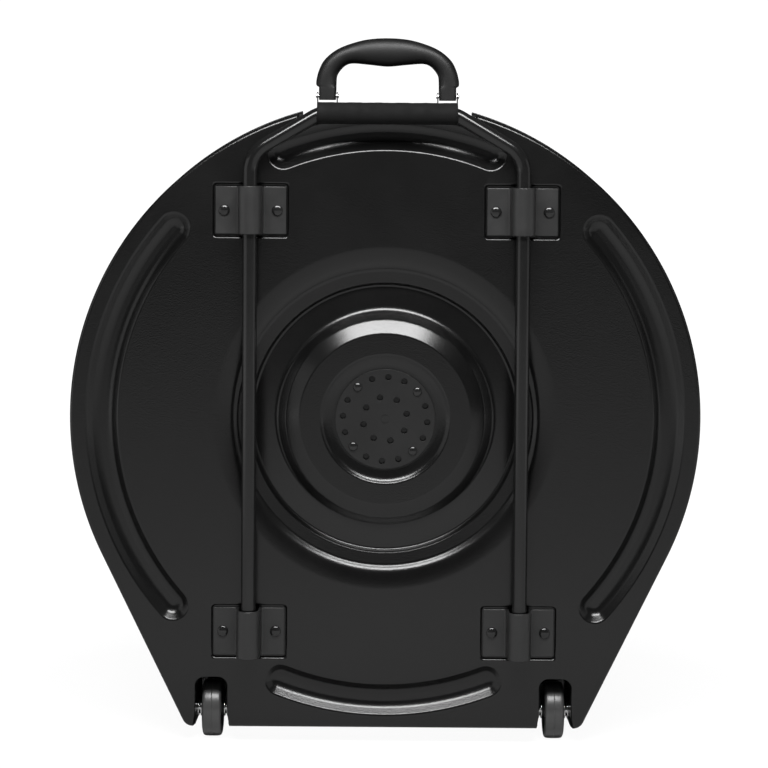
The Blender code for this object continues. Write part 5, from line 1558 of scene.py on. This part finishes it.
for name, place, turn in LATCHES:
    base = block("base", *mm((-22, 10, 0.3), (22, 34, 2.3)), rounding=0.4 * MM)
    ears = [
        block(
            f"latch_ear_{own}",
            *mm((own * 20 - 2, 19, 1.2), (own * 20 + 2, 29, 9.2)),
            rounding=1.2 * MM,
        )
        for own in (-1, 1)
    ]
    base = combine(base, "UNION", *ears)
    base = combine(base, "DIFFERENCE", rod("base_bore", 1.6, 25))
    aimed(f"latch_seat_{name}", base, place, turn)
    settle(base, latch_plastic, "lid", "latch", f"latch_base_{name}")

    arm = block("arm", *mm((-17.5, -17, 5.4), (17.5, 24, 8)), rounding=1.1 * MM)
    lip = block("lip", *mm((-17.5, -12.8, 2.8), (17.5, -10, 6.4)), rounding=0.5 * MM)
    ridges = [
        block(
            f"finger_ridge_{i}",
            *mm((-12, 2.2 * i - 15.5, 7.6), (12, 2.2 * i - 14.5, 8.35)),
            rounding=0.3 * MM,
            segments=2,
        )
        for i in range(4)
    ]
    lever = combine(rod("lever", 3.2, 17.5), "UNION", arm, lip, *ridges)
    lever = combine(lever, "DIFFERENCE", rod("lever_bore", 1.6, 25))
    aimed(f"latch_arm_{name}", lever, place, turn)
    settle(lever, latch_plastic, f"latch_{name}", "latch", f"latch_lever_{name}")

    pin = rod("pin", 1.3, 22, 20)
    aimed(f"latch_rod_{name}", pin, place, turn)
    settle(pin, zinc, "lid", "steel", f"latch_pin_{name}")
    heads = repeat(
        f"latch_rivets_{name}",
        dome(2.2, 1.0, 1.2, 1.2, 16),
        [(x * MM, y * MM, 2.3 * MM) for x in (-12, 12) for y in (13.5, 31)],
        (0, 0, 0),
        zinc,
    )
    aimed(f"latch_rivets_{name}", heads, place, turn)
    settle(heads, zinc, "lid", "steel")
print("latches:", len(LATCHES))

# %% [markdown]
# ## Inside
# With the lid open, foam liners, a steel post with felts and a wing nut show. The foam is a soft
# pad with pulled-in edges, the felts are turned with a rounded rim.

# %% Liners, gasket and felts
def foam_ring(name, bore, radius, near, far, face, inward, steps=180):
    """A foam ring with soft edges and a slightly uneven surface."""
    thick = far - near
    half = 3.2 * MM
    section = []
    for cx, cy, start in (
        (radius - half, far - half, 0),
        (bore + half, far - half, 90),
        (bore + half, near + half * 0.5, 180),
        (radius - half, near + half * 0.5, 270),
    ):
        for k in range(6):
            angle = (start + 18 * k) * DEG
            scale = 1.0 if start < 180 else 0.5
            section.append((cx + half * math.cos(angle), cy + half * scale * math.sin(angle)))
    extra = []
    for a, b in zip(section, section[1:] + section[:1]):
        extra.append(a)
        length = math.dist(a, b)
        count = int(length / (9 * MM))
        for k in range(1, count):
            t = k / count
            extra.append((a[0] + (b[0] - a[0]) * t, a[1] + (b[1] - a[1]) * t))
    rings = []
    for i in range(steps):
        angle = 2 * math.pi * i / steps
        ring = []
        for r, d in extra:
            deep = (d - near) / thick
            wave = 0.35 * MM * deep * (math.sin(7 * angle + r * 60) + math.sin(13 * angle - r * 90))
            depth = d - 0.5 * MM * deep + wave
            ring.append(
                (r * math.cos(angle), face + inward * depth, CENTRE_HEIGHT + r * math.sin(angle))
            )
        rings.append(ring)
    rings.append(rings[0])
    return loft(name, rings, caps=False)


back_pad = foam_ring("back_liner", 190 * MM, 316 * MM, 10.5 * MM, 30.5 * MM, BACK_FACE, 1)
settle(back_pad, liner_foam, "case_back", "foam", "back_foam", angle=80, weighted=False)
lid_pad = foam_ring("lid_liner", 60 * MM, 316 * MM, 10.5 * MM, 30.5 * MM, LID_FACE, -1)
settle(lid_pad, liner_foam, "lid", "foam", "lid_foam", angle=80, weighted=False)

seal = combine(collar("seal", 4.9, -2.3, 0.3), "DIFFERENCE", collar("seal_core", 6.7, -5, 5))
settle(seal, seal_rubber, "case_back", "seal", "rim_gasket")

post_place = (0, BACK_FACE, CENTRE_HEIGHT)
for name, node, near, thick in (
    ("lower_felt", "felt_washer_lower", 11.1, 20), ("upper_felt", "felt_washer_upper", 31.4, 10)
):
    low, high = near + 0.1, near + thick - 0.2
    section = mm(
        (4.4, near + 1), (4.4, high), (29.8, high), (29.8, low), (4.4, low), (4.4, near + 0.9)
    )
    pad = turned(name, eased(section, 2.2 * MM, 4), 72, post_place, "+Y", ring=True)
    settle(pad, felt, "case_back", "felt", node, angle=60, weighted=False)
print("pads: 4")

# %% Post, plate, cup and wing nut
plate = turned(
    "inner_plate",
    eased(mm((0, 6.5), (50, 6.5), (50, 4.0), (0, 4.0)), 0.5 * MM, 3),
    72,
    post_place,
    "+Y",
)
settle(plate, zinc, "case_back", "steel", "backing_plate")
thread = mm((0, 116.8), (3.0, 116.8), (3.7, 116.0))
height = 115.6
while height > 45:
    thread += mm((3.95, height), (3.45, height - 0.6))
    height -= 1.25
thread += mm((4.0, height), (4.0, 10.8), (13.6, 10.8), (14, 10.4), (14, 6.8), (0, 6.8))
post = turned("threaded_post", thread, 28, post_place, "+Y")
settle(post, zinc, "case_back", "steel", "centre_post", weighted=False)
cup = turned(
    "dished_washer",
    eased(
        mm((4.3, 43.6), (9, 43.6), (14, 42.9), (19, 42.3), (18.6, 41.7), (4.3, 41.8)), 0.5 * MM, 3
    ),
    64,
    post_place,
    "+Y",
    ring=True,
)
settle(cup, chrome, "case_back", "chrome", "cup_washer")
nut_barrel = turned(
    "nut_barrel",
    eased(mm((4.3, 44), (8, 44), (7.2, 53), (4.3, 53)), 0.6 * MM, 3),
    40,
    post_place,
    "+Y",
    ring=True,
)
wings = []
for side in (-1, 1):
    outline = eased(
        [
            (6.5, 45.2), (8.0, 45.2), (14.0, 47.0), (20.6, 53.0), (20.8, 58.6),
            (16.0, 58.8), (11.0, 54.5), (6.5, 51.6), (6.5, 45.2),
        ],
        1.8,
        4,
    )
    rings = [
        [(side * a * MM, BACK_FACE + b * MM, CENTRE_HEIGHT + t * MM) for a, b in outline[:-1]]
        for t in (-1.7, 1.7)
    ]
    wings.append(loft(f"wing_{side}", rings))
nut = combine(nut_barrel, "UNION", *wings)
nut.name = "wing_nut_body"
soften(nut, 0.4)
settle(nut, chrome, "nut", "chrome", "wing_nut")
print("thread turns:", sum(1 for r, h in thread if r == 3.45 * MM))
